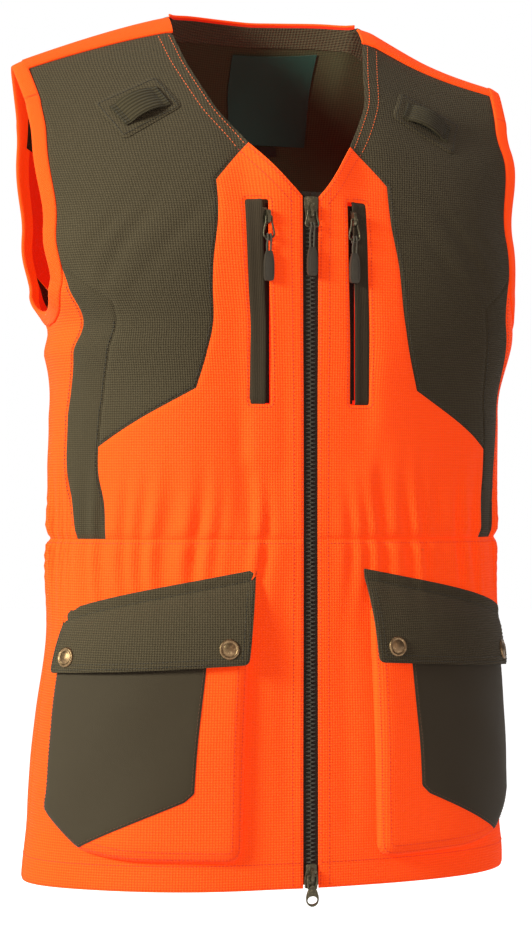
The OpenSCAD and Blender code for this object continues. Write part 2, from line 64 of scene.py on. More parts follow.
WIDTHS = [(60, CHEST + 46), (-40, CHEST + 40), (-110, CHEST + 28),
          (-190, CHEST + 10), (ARM_Z, CHEST), (-340, WAIST + 3),
          (-440, WAIST), (-520, WAIST + 4), (-640, HEM - 2), (-760, HEM)]
BACKS = [(60, BACK - 18), (-110, BACK - 14), (-260, BACK), (-440, BACK - 8),
         (-760, BACK_HEM)]
FULLNESS = [(60, 2.45), (-240, 2.5), (-330, 2.1), (-440, 2.05), (-760, 2.15)]
# Sideways lean of the cloth at the two sides, from the underarm to the hem.
LEAN_R = [(60, -3), (-100, -3), (-140, -2), (-200, 0), (-240, 5), (-272, 19),
          (-295, 11), (-350, 4), (-390, 2), (-470, 2), (-515, 4), (-600, 2),
          (-680, -1), (-740, -5)]
LEAN_L = [(60, 0), (-60, 1), (-110, -1), (-170, -5), (-230, -2), (-285, 0),
          (-350, 2), (-430, 3), (-510, -1), (-545, -7), (-600, -10),
          (-690, -10), (-725, -7), (-740, -7)]
# Sideways lean of the whole shoulder yoke.
YOKE_LEAN = [(60, -10), (-40, -10), (-85, -6), (-120, -3), (-180, -2.5),
             (-300, 0)]


def at(keys, z):
    """Smooth value at the height z of a list of (z, value) that runs down."""
    z = np.asarray(z, float)
    out = np.full(z.shape, float(keys[-1][1]))
    for (z0, v0), (z1, v1) in reversed(list(zip(keys[:-1], keys[1:]))):
        t = np.clip((z0 - z) / (z0 - z1), 0, 1)
        e = t * t * (3 - 2 * t)
        out = np.where(z >= z1, v0 * (1 - e) + v1 * e, out)
    return out


def ridge(x, back):
    ax = np.abs(x)
    fall = -50 * np.clip((ax - 70) / 148, 0, 1.2) ** 1.25
    rise = np.where(back, 52 * np.maximum(0, 1 - (ax / 85) ** 2),
                    60 * np.maximum(0, 1 - (ax / 55) ** 2) ** 2)
    return fall + rise


def depth(x, z, back):
    n, a = at(FULLNESS, z), at(WIDTHS, z)
    b = np.where(back, at(BACKS, z), FRONT)
    k = np.maximum(0, 1 - np.minimum(1, np.abs(x) / a) ** n) ** (1 / n)
    d = ridge(x, back) - z
    s = np.sin(math.pi / 2 * np.clip(d / np.where(back, 150, 215), 0, 1))
    return np.where(back, 1, -1) * b * k * np.sqrt(s * s + 0.2 * s * (1 - s))


def dip(x, z):
    """How far the cloth of the wearer's left shoulder hangs lower."""
    fall = 9 * np.sin(np.pi * np.clip((np.asarray(x, float) - 88) / 130, 0, 1))
    return fall * np.clip((z + 130) / 110, 0, 1)


def turn(q):
    return np.radians(90 * q - 2.15 * np.sin(2 * math.pi * q))


Q = np.linspace(0, 1, 400)
SIN_Q = np.sin(turn(Q))


def u_of(x, z):
    """The u at which the front surface has the given x."""
    return np.sign(x) * 300 * np.interp(np.abs(x) / at(WIDTHS, z), SIN_Q, Q)


def smooth_body(u, z):
    u, z = np.broadcast_arrays(np.asarray(u, float), np.asarray(z, float))
    w = np.where(u > 600, u - 1200, u)
    aw = np.abs(w)
    q = np.minimum(aw, 600 - aw) / 300
    a = at(WIDTHS, z)
    x = np.sign(w) * a * np.sin(turn(q))
    y = depth(x, z, aw > 300)
    side = (np.abs(x) / a) ** 2
    lean = np.where(x < 0, at(LEAN_R, z), at(LEAN_L, z)) * side
    free = np.where(aw > 300, 1, np.clip((aw - 12) / 30, 0, 1))
    free = np.maximum(free, np.clip((z + 150) / 40, 0, 1))
    return np.stack([x + lean + at(YOKE_LEAN, z) * free, y, z - dip(x, z)],
                    -1)


def folds(u, z):
    """Height of the soft folds and of the gathers at the waist."""
    u, z = np.broadcast_arrays(np.asarray(u, float), np.asarray(z, float))
    w = np.where(u > 600, u - 1200, u)
    aw = np.abs(w)
    calm = np.clip((aw - 14) / 40, 0, 1)
    seam = np.clip((600 - aw) / 40, 0, 1)
    arm = np.maximum(np.clip((np.abs(aw - 300) - 105) / 40, 0, 1),
                     np.clip((-z - 280) / 40, 0, 1))
    strip = np.exp(-((aw - 205) / 22) ** 2) + np.exp(-((aw - 395) / 22) ** 2)
    t = w + 4 * np.sin(z / 31 + w / 60)
    g = (np.sin(t / 3.1 + 0.8 * np.sin(w / 47)) + 0.7 * np.sin(t / 4.3 + 2)
         + 0.6 * np.sin(t / 2.2 + 1.2 * np.sin(w / 33 + 1)))
    d = z - WAIST_Z
    near = np.where(d > 0, np.exp(-(d / 42) ** 2), np.exp(-(d / 50) ** 2))
    rise = 1 - np.exp(-(d / 5) ** 2)
    g = g * seam + 1.6 * (1 - seam) * np.sin(aw / 3.3)
    h = 1.9 * g * near * (0.35 + 0.65 * rise) * calm * (1 - 0.7 * strip)
    h -= 1.6 * np.exp(-(d / 4.5) ** 2) * (0.3 + 0.7 * calm)
    soft = (np.sin(w / 37 + z / 190 + 1.3) * np.sin(z / 71 + w / 260)
            + 0.6 * np.sin(w / 23 - z / 120) * np.sin(z / 93 + 2))
    h += 2.6 * soft * calm * seam * arm * np.clip((-z - 90) / 120, 0, 1)
    # Upright folds under the chest pockets and beside the front zip.
    for fu, f0, f1, deep, wide in ((-62, -330, -446, 2.6, 8),
                                   (-30, -290, -446, 1.3, 7),
                                   (66, -350, -440, 1.6, 9),
                                   (-26, -470, -690, 1.4, 9),
                                   (30, -500, -700, 1.2, 9),
                                   (120, -395, -446, 1.8, 6),
                                   (-118, -402, -446, 1.8, 6)):
        span = np.clip((f0 - z) / 40, 0, 1) * np.clip((z - f1) / 20, 0, 1)
        h -= deep * np.exp(-((w - fu + 0.03 * (z - f0)) / wide) ** 2) * span
    # Drag lines from the armhole and across the back.
    for k, (du, deep) in enumerate(((150, 1.6), (118, 1.0), (176, 1.1))):
        line = aw - du + (0.75 + 0.1 * k) * (z + 215)
        h -= deep * np.exp(-(line / 7) ** 2) \
            * np.exp(-((z + 205) / 44) ** 2) * arm
    # The cloth lies flat round the chest zips, where the pulls travel.
    flat = np.exp(-((aw - 42) / 18) ** 4) * np.clip((z + 395) / 14, 0, 1) \
        * np.clip((-z - 150) / 10, 0, 1)
    h = h * (1 - flat)
    back = np.clip((aw - 420) / 80, 0, 1)
    h += 2.4 * back * np.cos(aw / 41 + z / 60) * np.sin(z / 88 + 0.5)
    return h


def body_normal(u, z):
    u, z = np.broadcast_arrays(np.asarray(u, float), np.asarray(z, float))
    du = smooth_body(u + 1, z) - smooth_body(u - 1, z)
    dz = smooth_body(u, z + 1) - smooth_body(u, z - 1)
    n = np.cross(du, dz)
    return n / np.linalg.norm(n, axis=-1, keepdims=True)


def drape(u, z, lift=0.0, fold=1.0):
    h = np.asarray(lift, float) + fold * folds(u, z)
    return smooth_body(u, z) + body_normal(u, z) * h[..., None]


ARC_U = np.linspace(-620, 1240, 1861)
_p = smooth_body(ARC_U, np.full(ARC_U.shape, -350.0))
ARC_S = np.concatenate([[0], np.cumsum(np.linalg.norm(np.diff(_p, axis=0),
                                                      axis=1))])


def cloth_uv(u, z):
    """UV in metres of real cloth, so a weave has its true size."""
    s = np.interp(u, ARC_U, ARC_S)
    return np.stack([s * MM, np.asarray(z, float) * MM], -1)


# ---------------------------------------------------------------- outlines

V_CORNER = (41, -119)
NECK_EDGE = [(72, -19), (66, -50), (58, -85), V_CORNER]
YOKE_EDGE = [V_CORNER, (69, -152), (73, -192), (79, -227), (86, -282),
             (100, -324)]
YOKE_LOW = (188, -372)
ARMHOLE = [(178, -50), (179, -78), (184, -112), (190, -138), (197, -165),
           (204, -192), (209, -222), (218, -240), (240, -256), (270, -265),
           (300, -268)]
SIDE_INNER = [(165, -253), (171, -286), (181, -322), YOKE_LOW, (188, -396),
              (183, -420), (182, WAIST_Z)]
SIDE_OUTER = [(209, -222), (208, -260), (222, -300), (233, -340),
              (233, -390), (224, -425), (218, WAIST_Z)]


def curve(points, step=3.0, closed=False):
    """Smooth line through the points, with a point about every step."""
    p = np.array(points, float)
    n = len(p)
    out = []
    for i in range(n if closed else n - 1):
        a, b = p[i], p[(i + 1) % n]
        before = p[i - 1] if closed or i > 0 else 2 * a - b
        after = p[(i + 2) % n] if closed or i + 2 < n else 2 * b - a
        m = max(1, int(math.ceil(np.linalg.norm(b - a) / step)))
        for k in range(m):
            t = k / m
            out.append(0.5 * (2 * a + (b - before) * t
                              + (2 * before - 5 * a + 4 * b - after) * t * t
                              + (3 * a - before - 3 * b + after) * t ** 3))
    if not closed:
        out.append(p[-1])
    return np.array(out)


def straight(*points, step=3.0):
    out = []
    for a, b in zip(points[:-1], points[1:]):
        a, b = np.array(a, float), np.array(b, float)
        m = max(1, int(math.ceil(np.linalg.norm(b - a) / step)))
        out += [a + (b - a) * k / m for k in range(m)]
    out.append(np.array(points[-1], float))
    return np.array(out)


def joined(*lines):
    """One closed outline from lines that meet end to end."""
    return np.concatenate([l[:-1] if np.allclose(l[-1], m[0]) else l
                           for l, m in zip(lines, lines[1:] + lines[:1])])


def mirrored(line, side):
    return np.array(line, float) * [side, 1]


def backwards(line):
    return np.array([(600 - u, z) for u, z in line], float)


def rounded(points, radius, step=1.5):
    """Closed outline with its corners rounded off."""
    p = np.array(points, float)
    out = []
    for i in range(len(p)):
        a, b, c = p[i - 1], p[i], p[(i + 1) % len(p)]
        r = radius[i] if np.ndim(radius) else radius
        d0 = min(r, np.linalg.norm(a - b) * 0.45)
        d1 = min(r, np.linalg.norm(c - b) * 0.45)
        s = b + (a - b) / np.linalg.norm(a - b) * d0
        e = b + (c - b) / np.linalg.norm(c - b) * d1
        m = max(2, int(r / step) + 2)
        out += [(1 - t) ** 2 * s + 2 * t * (1 - t) * b + t * t * e
                for t in np.linspace(0, 1, m)]
    ring = [out[0]]
    for q in out[1:] + [out[0]]:
        gap = np.linalg.norm(q - ring[-1])
        m = max(1, int(gap / 3.0))
        ring += [ring[-1] + (q - ring[-1]) * (k + 1) / m for k in range(m)]
    return np.array(ring[:-1])


def distance(points, line, closed=False):
    """Distance of each point from a polyline."""
    p = np.asarray(points, float)
    a = np.asarray(line, float)
    b = np.roll(a, -1, axis=0)
    if not closed:
        a, b = a[:-1], b[:-1]
    best = np.full(len(p), 1e9)
    for s, e in zip(a, b):
        d = e - s
        t = np.clip(((p - s) @ d) / max(d @ d, 1e-9), 0, 1)
        best = np.minimum(best, np.linalg.norm(p - s - t[:, None] * d, axis=1))
    return best


def inside(points, ring):
    p = np.asarray(points, float)
    a = np.asarray(ring, float)
    b = np.roll(a, -1, axis=0)
    hit = np.zeros(len(p), bool)
    for (x0, y0), (x1, y1) in zip(a, b):
        if y0 == y1:
            continue
        cross = (y0 > p[:, 1]) != (y1 > p[:, 1])
        x = x0 + (p[:, 1] - y0) * (x1 - x0) / (y1 - y0)
        hit ^= cross & (p[:, 0] < x)
    return hit


def offset(line, d, closed=False):
    """Line moved d to its left."""
    p = np.asarray(line, float)
    if closed:
        t = np.roll(p, -1, 0) - np.roll(p, 1, 0)
    else:
        t = np.gradient(p, axis=0)
    t /= np.maximum(np.linalg.norm(t, axis=1, keepdims=True), 1e-9)
    return p + d * np.stack([-t[:, 1], t[:, 0]], -1)


# ---------------------------------------------------------------- meshes

def mesh_object(name, verts, faces, mat, uv=None, sharp=50, lined=None):
    """Object from points in millimetres; lined is (material, face range)."""
    mesh = bpy.data.meshes.new(name)
    mesh.from_pydata([tuple(v) for v in np.asarray(verts, float) * MM], [],
                     [tuple(int(i) for i in f) for f in faces])
    if uv is not None:
        layer = mesh.uv_layers.new(name="cloth")
        index = np.empty(len(mesh.loops), np.int32)
        mesh.loops.foreach_get("vertex_index", index)
        layer.data.foreach_set("uv", np.asarray(uv, np.float32)[index].ravel())
    mesh.validate()
    mesh.shade_smooth()
    mesh.set_sharp_from_angle(angle=math.radians(sharp))
    mesh.materials.append(mat)
    if lined is not None:
        mesh.materials.append(lined[0])
        for k in lined[1]:
            mesh.polygons[k].material_index = 1
    obj = bpy.data.objects.new(name, mesh)
    bpy.context.scene.collection.objects.link(obj)
    return obj


def thickened(outer, inner, faces):
    """Closed shell from an outer sheet, its inner copy and its faces."""
    n = len(outer)
    edges = {}
    for f in faces:
        for a, b in zip(f, f[1:] + f[:1]):
            edges[(a, b)] = edges.get((a, b), 0) + 1
    rim = [(b, a, a + n, b + n) for (a, b) in edges if (b, a) not in edges]
    inside_faces = [tuple(i + n for i in reversed(f)) for f in faces]
    return (np.concatenate([outer, inner]),
            list(faces) + inside_faces + rim)


def grid_faces(rows, cols, closed=False):
    out = []
    for i in range(rows - 1):
        for j in range(cols if closed else cols - 1):
            k = (j + 1) % cols
            out.append((i * cols + j, (i + 1) * cols + j,
                        (i + 1) * cols + k, i * cols + k))
    return out


def panel(name, outline, mat, lift=None, holes=(), grid=4.5, thick=CLOTH,
          seam=0.8, fold=1.0, extra=(), inner_mat=None):
    """Cloth panel in the (u, z) chart with dipped, sewn edges."""
    ring = np.asarray(outline, float)
    rings = [ring] + [np.asarray(h, float) for h in holes]
    pts, edges = [], []
    for r in rings:
        base = len(pts)
        pts += [tuple(p) for p in r]
        edges += [(base + i, base + (i + 1) % len(r)) for i in range(len(r))]
    lo, hi = ring.min(0), ring.max(0)
    us = np.arange(lo[0] + grid / 2, hi[0], grid)
    zs = np.arange(lo[1] + grid / 2, hi[1], grid)
    gu, gz = np.meshgrid(us, zs)
    gu[1::2] += grid / 2
    cand = np.stack([gu.ravel(), gz.ravel()], -1)
    rows = [cand]
    for r in rings:
        for d in (1.3, 3.2):
            rows += [offset(r, d, True), offset(r, -d, True)]
    for line in extra:
        rows.append(np.asarray(line, float))
    cand = np.concatenate(rows)
    keep = inside(cand, ring)
    for h in rings[1:]:
        keep &= ~inside(cand, h)
    cand = cand[keep]
    near = np.min([distance(cand, r, True) for r in rings], axis=0)
    cand = cand[near > 1.0]
    cell = {}
    for p in cand[::-1]:
        cell[(int(p[0] // 1.1), int(p[1] // 1.1))] = tuple(p)
    pts += list(cell.values())
    out = delaunay_2d_cdt([Vector(p) for p in pts], edges, [], 0, 1e-4)
    flat = np.array([tuple(v) for v in out[0]])
    tri = np.array([f for f in out[2] if len(f) == 3])
    mid = flat[tri].mean(1)
    good = inside(mid, ring)
    for h in rings[1:]:
        good &= ~inside(mid, h)
    tri = tri[good]
    used = np.unique(tri)
    index = np.full(len(flat), -1)
    index[used] = np.arange(len(used))
    flat, tri = flat[used], index[tri]
    a, b, c = flat[tri[:, 0]], flat[tri[:, 1]], flat[tri[:, 2]]
    area = (b[:, 0] - a[:, 0]) * (c[:, 1] - a[:, 1]) \
        - (b[:, 1] - a[:, 1]) * (c[:, 0] - a[:, 0])
    tri = np.where((area < 0)[:, None], tri[:, ::-1], tri)
    u, z = flat[:, 0], flat[:, 1]
    rim = np.min([distance(flat, r, True) for r in rings], axis=0)
    h = np.zeros(len(flat)) if lift is None else lift(u, z)
    top = h - seam * np.exp(-(rim / 1.6) ** 2)
    outer = drape(u, z, top, fold)
    inner = drape(u, z, h - thick, fold)
    verts, faces = thickened(outer, inner, [tuple(t) for t in tri.tolist()])
    uv = np.tile(cloth_uv(u, z), (2, 1))
    lined = (inner_mat, range(len(tri), 2 * len(tri))) if inner_mat else None
    return mesh_object(name, verts, faces, mat, uv, lined=lined)


def level(height):
    """Lift of a panel that keeps the same height over the body."""
    return lambda u, z: np.full(np.shape(u), height)


def sheet_grid(name, outer, thick_dir, mat, uv, thick):
    """Closed shell from a grid of points and its outward directions."""
    rows, cols = outer.shape[:2]
    o = outer.reshape(-1, 3)
    i = (outer - thick_dir * thick).reshape(-1, 3)
    verts, faces = thickened(o, i, grid_faces(rows, cols))
    return mesh_object(name, verts, faces, mat, np.tile(uv.reshape(-1, 2),
                                                        (2, 1)))


def frames(path, closed=False, up=None):
    p = np.asarray(path, float)
    t = (np.roll(p, -1, 0) - np.roll(p, 1, 0)) if closed \
        else np.gradient(p, axis=0)
    t /= np.maximum(np.linalg.norm(t, axis=1, keepdims=True), 1e-9)
    if up is None:
        n = np.zeros_like(p)
        ref = np.array([0, 0, 1.0]) if abs(t[0][2]) < 0.8 \
            else np.array([0, -1.0, 0])
        n[0] = ref - t[0] * (ref @ t[0])
        n[0] /= np.linalg.norm(n[0])
        for k in range(1, len(p)):
            v = n[k - 1] - t[k] * (n[k - 1] @ t[k])
            n[k] = v / max(np.linalg.norm(v), 1e-9)
    else:
        n = np.asarray(up, float) - t * np.sum(np.asarray(up) * t, 1,
                                               keepdims=True)
        n /= np.maximum(np.linalg.norm(n, axis=1, keepdims=True), 1e-9)
    return p, t, n, np.cross(t, n)


def swept(name, path, profile, mat, closed=False, up=None):
    """Profile of (side, out) points swept along a path."""
    p, t, n, b = frames(path, closed, up)
    prof = np.asarray(profile, float)
    ring = p[:, None] + b[:, None] * prof[None, :, :1] \
        + n[:, None] * prof[None, :, 1:]
    rows, cols = ring.shape[:2]
    verts = ring.reshape(-1, 3)
    faces = grid_faces(rows, cols, True)
    if closed:
        faces += [((rows - 1) * cols + j, j, (j + 1) % cols,
                   (rows - 1) * cols + (j + 1) % cols) for j in range(cols)]
    else:
        faces += [tuple(range(cols)),
                  tuple((rows - 1) * cols + j for j in reversed(range(cols)))]
    s = np.concatenate([[0], np.cumsum(np.linalg.norm(np.diff(p, axis=0),
                                                      axis=1))])
    per = np.concatenate([[0], np.cumsum(np.linalg.norm(
        np.diff(prof, axis=0), axis=1))])
    uv = np.stack(np.broadcast_arrays(per[None, :], s[:, None]), -1) * MM
    obj = mesh_object(name, verts, faces, mat, uv.reshape(-1, 2))
    fix_normals(obj)
    return obj


def fix_normals(obj):
    bm = bmesh.new()
    bm.from_mesh(obj.data)
    bmesh.ops.recalc_face_normals(bm, faces=bm.faces[:])
    bm.to_mesh(obj.data)
    bm.free()
    obj.data.set_sharp_from_angle(angle=math.radians(50))


def tube(name, path, r, mat, sides=10):
    a = np.linspace(0, 2 * math.pi, sides, endpoint=False)
    return swept(name, path, np.stack([r * np.cos(a), r * np.sin(a)], -1), mat)


def plate(name, outline, y0, y1, mat, bevel, where=(0, 0, 0), holes=()):
    """Plate in the XZ plane between two depths, with rounded edges."""
    ring = np.asarray(outline, float)
    rings = [ring] + [np.asarray(h, float) for h in holes]
    pts, edges = [], []
    for r in rings:
        base = len(pts)
        pts += [Vector(p) for p in r]
        edges += [(base + i, base + (i + 1) % len(r)) for i in range(len(r))]
    out = delaunay_2d_cdt(pts, edges, [], 0, 1e-5)
    flat = np.array([tuple(v) for v in out[0]])
    bm = bmesh.new()
    vs = [bm.verts.new((p[0], y1, p[1])) for p in flat]
    for f in out[2]:
        mid = flat[list(f)].mean(0)[None]
        if inside(mid, ring)[0] and not any(inside(mid, h)[0]
                                            for h in rings[1:]):
            bm.faces.new([vs[i] for i in f])
    ext = bmesh.ops.extrude_face_region(bm, geom=bm.faces[:])
    for v in ext["geom"]:
        if isinstance(v, bmesh.types.BMVert):
            v.co.y = y0
    bmesh.ops.recalc_face_normals(bm, faces=bm.faces[:])
    if bevel:
        sharp = [e for e in bm.edges if len(e.link_faces) == 2
                 and abs(e.verts[0].co.y - e.verts[1].co.y) < 1e-6
                 and e.calc_face_angle(0) > 1.2]
        bmesh.ops.bevel(bm, geom=sharp, offset=bevel, segments=3,
                        profile=0.6, affect="EDGES", clamp_overlap=True)
    return from_bmesh(name, bm, mat, where)


def from_bmesh(name, bm, mat, where=(0, 0, 0), sharp=40):
    for v in bm.verts:
        v.co = (v.co + Vector(where)) * MM
    mesh = bpy.data.meshes.new(name)
    bm.to_mesh(mesh)
    bm.free()
    mesh.shade_smooth()
    mesh.set_sharp_from_angle(angle=math.radians(sharp))
    mesh.materials.append(mat)
    obj = bpy.data.objects.new(name, mesh)
    bpy.context.scene.collection.objects.link(obj)
    return obj


def lathe(name, profile, centre, axis, mat, sides=40):
    """Turned piece: profile of (radius, height) along an outward axis."""
    axis = np.asarray(axis, float)
    axis /= np.linalg.norm(axis)
    side = np.cross(axis, [0, 0, 1.0])
    side /= np.linalg.norm(side)
    other = np.cross(axis, side)
    a = np.linspace(0, 2 * math.pi, sides, endpoint=False)
    verts = [np.asarray(centre) + axis * h
             + r * (side * math.cos(t) + other * math.sin(t))
             for r, h in profile for t in a]
    faces = grid_faces(len(profile), sides, True)
    faces += [tuple(range(sides)),
              tuple((len(profile) - 1) * sides + j
                    for j in reversed(range(sides)))]
    obj = mesh_object(name, verts, faces, mat, sharp=35)
    fix_normals(obj)
    return obj


def join(name, objects):
    """One object from several, keeping their materials."""
    bpy.ops.object.select_all(action="DESELECT")
    for o in objects:
        o.select_set(True)
    bpy.context.view_layer.objects.active = objects[0]
    if len(objects) > 1:
        bpy.ops.object.join()
    objects[0].name = name
    objects[0].data.name = name
    return objects[0]


def stitch_line(path, normal, pitch=3.2, length=2.3, width=0.55, rise=0.25):
    """Points and faces of a row of stitches on a 3-D path."""
    p = np.asarray(path, float)
    seg = np.linalg.norm(np.diff(p, axis=0), axis=1)
    s = np.concatenate([[0], np.cumsum(seg)])
    count = int(s[-1] / pitch)
    verts, faces = [], []
    if count < 1:
        return verts, faces
    mids = (np.arange(count) + 0.5) * s[-1] / count
    get = lambda v: np.stack([np.interp(v, s, p[:, k]) for k in range(3)], -1)
    nor = np.stack([np.interp(mids, s, normal[:, k]) for k in range(3)], -1)
    a, m, b = get(mids - length / 2), get(mids), get(mids + length / 2)
    for a0, m0, b0, n0 in zip(a, m, b, nor):
        t = b0 - a0
        t /= max(np.linalg.norm(t), 1e-9)
        side = np.cross(n0, t) * width / 2
        up = n0 * rise
        base = len(verts)
        for c, k, h in ((a0, 0.5, -0.5), (m0, 1.0, 1.0), (b0, 0.5, -0.5)):
            verts += [c - side * k, c + up * h - side * 0.5 * k + n0 * 0.1,
                      c + up * h + side * 0.5 * k + n0 * 0.1, c + side * k]
        for r in (0, 4):
            for j in range(3):
                faces.append((base + r + j, base + r + j + 1,
                              base + r + j + 5, base + r + j + 4))
    return verts, faces


def stitches(name, rows, mat, body="vest", **kw):
    """One object for rows given as (path, normals)."""
    verts, faces = [], []
    for path, normal in rows:
        v, f = stitch_line(path, normal, **kw)
        faces += [tuple(i + len(verts) for i in q) for q in f]
        verts += v
    obj = mesh_object(name, verts, faces, mat, sharp=80)
    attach(obj, body)
    return obj


def on_cloth(line, lift=0.15, fold=1.0):
    line = np.asarray(line, float)
    h = lift(line[:, 0], line[:, 1]) if callable(lift) else lift
    return (drape(line[:, 0], line[:, 1], h, fold),
            body_normal(line[:, 0], line[:, 1]))


# ---------------------------------------------------------------- materials

class Nodes:
    """Short names for the nodes of one material."""

    def __init__(self, name):
        self.mat = bpy.data.materials.new(name)
        self.mat.use_nodes = True
        self.tree = self.mat.node_tree
        self.shader = self.tree.nodes["Principled BSDF"]

    def node(self, kind, **sets):
        n = self.tree.nodes.new(kind)
        for key, value in sets.items():
            if key[0] == "i" and key[1:].isdigit():
                self.put(n.inputs[int(key[1:])], value)
            elif key in n.inputs:
                self.put(n.inputs[key], value)
            else:
                setattr(n, key, value)
        return n

    def put(self, socket, value):
        if isinstance(value, bpy.types.NodeSocket):
            self.tree.links.new(value, socket)
        else:
            socket.default_value = value

    def math(self, op, a, b=0.0, c=0.0):
        return self.node("ShaderNodeMath", operation=op, i0=a, i1=b,
                         i2=c).outputs[0]

    def noise(self, scale, detail=3.0, rough=0.5, vector=None, stretch=None):
        if vector is None:
            vector = self.node("ShaderNodeTexCoord").outputs["Object"]
        if stretch is not None:
            vector = self.node("ShaderNodeMapping", Vector=vector,
                               Scale=stretch).outputs[0]
        return self.node("ShaderNodeTexNoise", Vector=vector, Scale=scale,
                         Detail=detail, Roughness=rough).outputs["Fac"]

    def ramp(self, fac, stops):
        n = self.node("ShaderNodeValToRGB", Fac=fac)
        r = n.color_ramp
        while len(r.elements) < len(stops):
            r.elements.new(0.5)
        for e, (pos, col) in zip(r.elements, stops):
            e.position = pos
            e.color = (*col, 1)
        return n.outputs["Color"]

    def mix(self, fac, a, b, kind="MIX"):
        n = self.node("ShaderNodeMix", data_type="RGBA", blend_type=kind)
        self.put(n.inputs[0], fac)
        self.put(n.inputs[6], a)
        self.put(n.inputs[7], b)
        return n.outputs[2]

    def bump(self, height, distance, strength=1.0, normal=None):
        n = self.node("ShaderNodeBump", Strength=strength, Distance=distance,
                      Height=height)
        if normal is not None:
            self.put(n.inputs["Normal"], normal)
        return n.outputs[0]

    def set(self, **values):
        for key, value in values.items():
            self.put(self.shader.inputs[key.replace("_", " ")], value)


def linear(r, g, b):
    f = lambda v: (v / 255 / 12.92 if v <= 10
                   else ((v / 255 + 0.055) / 1.055) ** 2.4)
    return (f(r), f(g), f(b))


def rgba(c):
    return (*c, 1)


def scaled(c, k):
    return tuple(min(1, v * k) for v in c)


def fabric(name, colour, weave, pitch=1.8, deep=0.3, painted_glow=0.0, rough=0.85,
           sheen=0.12, bump=0.00022, vary=0.12):
    """Woven cloth whose weave runs along the piece's own UV; painted shade in
    the grooves, optional painted glow.
    """
    m = Nodes(name)
    uv = m.node("ShaderNodeTexCoord").outputs["UV"]
    xyz = m.node("ShaderNodeSeparateXYZ", Vector=uv).outputs
    k = 2 * math.pi / (pitch * MM)
    wob = m.math("MULTIPLY", m.noise(900, 1), 0.0004)
    x = m.math("MULTIPLY", m.math("ADD", xyz[0], wob), k)
    y = m.math("MULTIPLY", m.math("ADD", xyz[1], wob), k)
    if weave == "waffle":
        a = m.math("MULTIPLY", m.math("COSINE", x), 0.22)
        b = m.math("MULTIPLY", m.math("COSINE", y), 0.28)
        h = m.math("ADD", m.math("ADD", a, b), 0.5)
    elif weave == "twill":
        a = m.math("COSINE", m.math("ADD", x, m.math("MULTIPLY", y, 1.3)))
        b = m.math("MULTIPLY", m.math("COSINE", m.math("MULTIPLY", y, 2.1)),
                   0.3)
        h = m.math("ADD", m.math("MULTIPLY", m.math("ADD", a, b), 0.38), 0.5)
    elif weave == "webbing":
        a = m.math("MULTIPLY", m.math("COSINE", y), 0.38)
        b = m.math("MULTIPLY", m.math("COSINE", m.math("MULTIPLY", x, 2.4)),
                   0.12)
        h = m.math("ADD", m.math("ADD", a, b), 0.5)
    elif weave == "rib":
        a = m.math("MULTIPLY", m.math("COSINE", x), 0.3)
        b = m.math("MULTIPLY", m.math("COSINE", m.math("MULTIPLY", y, 1.4)),
                   0.2)
        h = m.math("ADD", m.math("ADD", a, b), 0.5)
    else:
        h = m.math("ADD", m.math("MULTIPLY", m.math("MULTIPLY", m.math(
            "COSINE", x), m.math("COSINE", y)), 0.5), 0.5)
    fibre = m.noise(2600, 2, 0.6)
    patchy = m.noise(9, 4, 0.55)
    # Painted shade: the weave's low grooves are darkened in the base colour, as
    # shade in the recesses.
    painted_groove_shade = m.math("MULTIPLY", m.math("SUBTRACT", 1.0, h), deep)
    base = m.mix(painted_groove_shade, rgba(colour), rgba(scaled(colour, 0.25)))
    shade = m.math("ADD", m.math("MULTIPLY", patchy, vary),
                   m.math("MULTIPLY", fibre, vary * 0.8))
    base = m.mix(m.math("SUBTRACT", shade, vary * 0.3), base,
                 rgba(scaled(colour, 0.4)))
    height = m.math("ADD", h, m.math("MULTIPLY", fibre, 0.35))
    m.set(Base_Color=base, Roughness=m.math(
        "ADD", m.math("MULTIPLY", fibre, 0.15), rough - 0.08),
        Normal=m.bump(height, bump), Sheen_Weight=sheen,
        Sheen_Roughness=0.45, Specular_IOR_Level=0.25)
    # Painted glow: emission keeps the cloth bright red where light and shade
    # fall, though the cloth is no lamp.
    if painted_glow:
        m.set(Emission_Color=m.mix(0.8, base, rgba((1.0, 0.012, 0.001))),
              Emission_Strength=painted_glow)
    return m.mat


def thread(name, colour, painted_glow=0.0):
    m = Nodes(name)
    fibre = m.noise(4000, 2, 0.6)
    base = m.mix(m.math("MULTIPLY", fibre, 0.5), rgba(colour),
                 rgba(scaled(colour, 0.4)))
    m.set(Base_Color=base, Roughness=m.math(
        "ADD", m.math("MULTIPLY", fibre, 0.3), 0.45),
        Normal=m.bump(fibre, 0.0001), Sheen_Weight=0.2)
    # Painted glow: emission on the thread, which is no lamp.
    if painted_glow:
        m.set(Emission_Color=base, Emission_Strength=painted_glow)
    return m.mat


def hard(name, colour, metal=0.0, rough=0.4, wear_and_glint=None, grain=0.00006):
    """Painted metal or moulded plastic, with brighter spots: wear on the metal,
    painted glints on zip teeth.
    """
    m = Nodes(name)
    cloud = m.noise(160, 4, 0.6)
    fine = m.noise(1500, 3, 0.6)
    base = m.mix(m.math("MULTIPLY", cloud, 0.7), rgba(colour),
                 rgba(scaled(colour, 0.45)))
    # Brighter spots: wear on the metal and brass, painted glints on the zip
    # teeth.
    if wear_and_glint is not None:
        spots = m.ramp(m.noise(420, 5, 0.7),
                       [(0.52, (0, 0, 0)), (0.66, (1, 1, 1))])
        base = m.mix(m.math("MULTIPLY", spots, 0.6), base, rgba(wear_and_glint))
    m.set(Base_Color=base, Metallic=metal, Roughness=m.math(
        "ADD", m.math("MULTIPLY", fine, 0.3), rough - 0.12),
        Normal=m.bump(m.math("ADD", cloud, fine), grain))
    return m.mat


ORANGE = (1.0, 0.15, 0.008)
OLIVE = linear(98, 84, 62)
DARK = linear(72, 60, 44)
BROWN = linear(47, 33, 23)

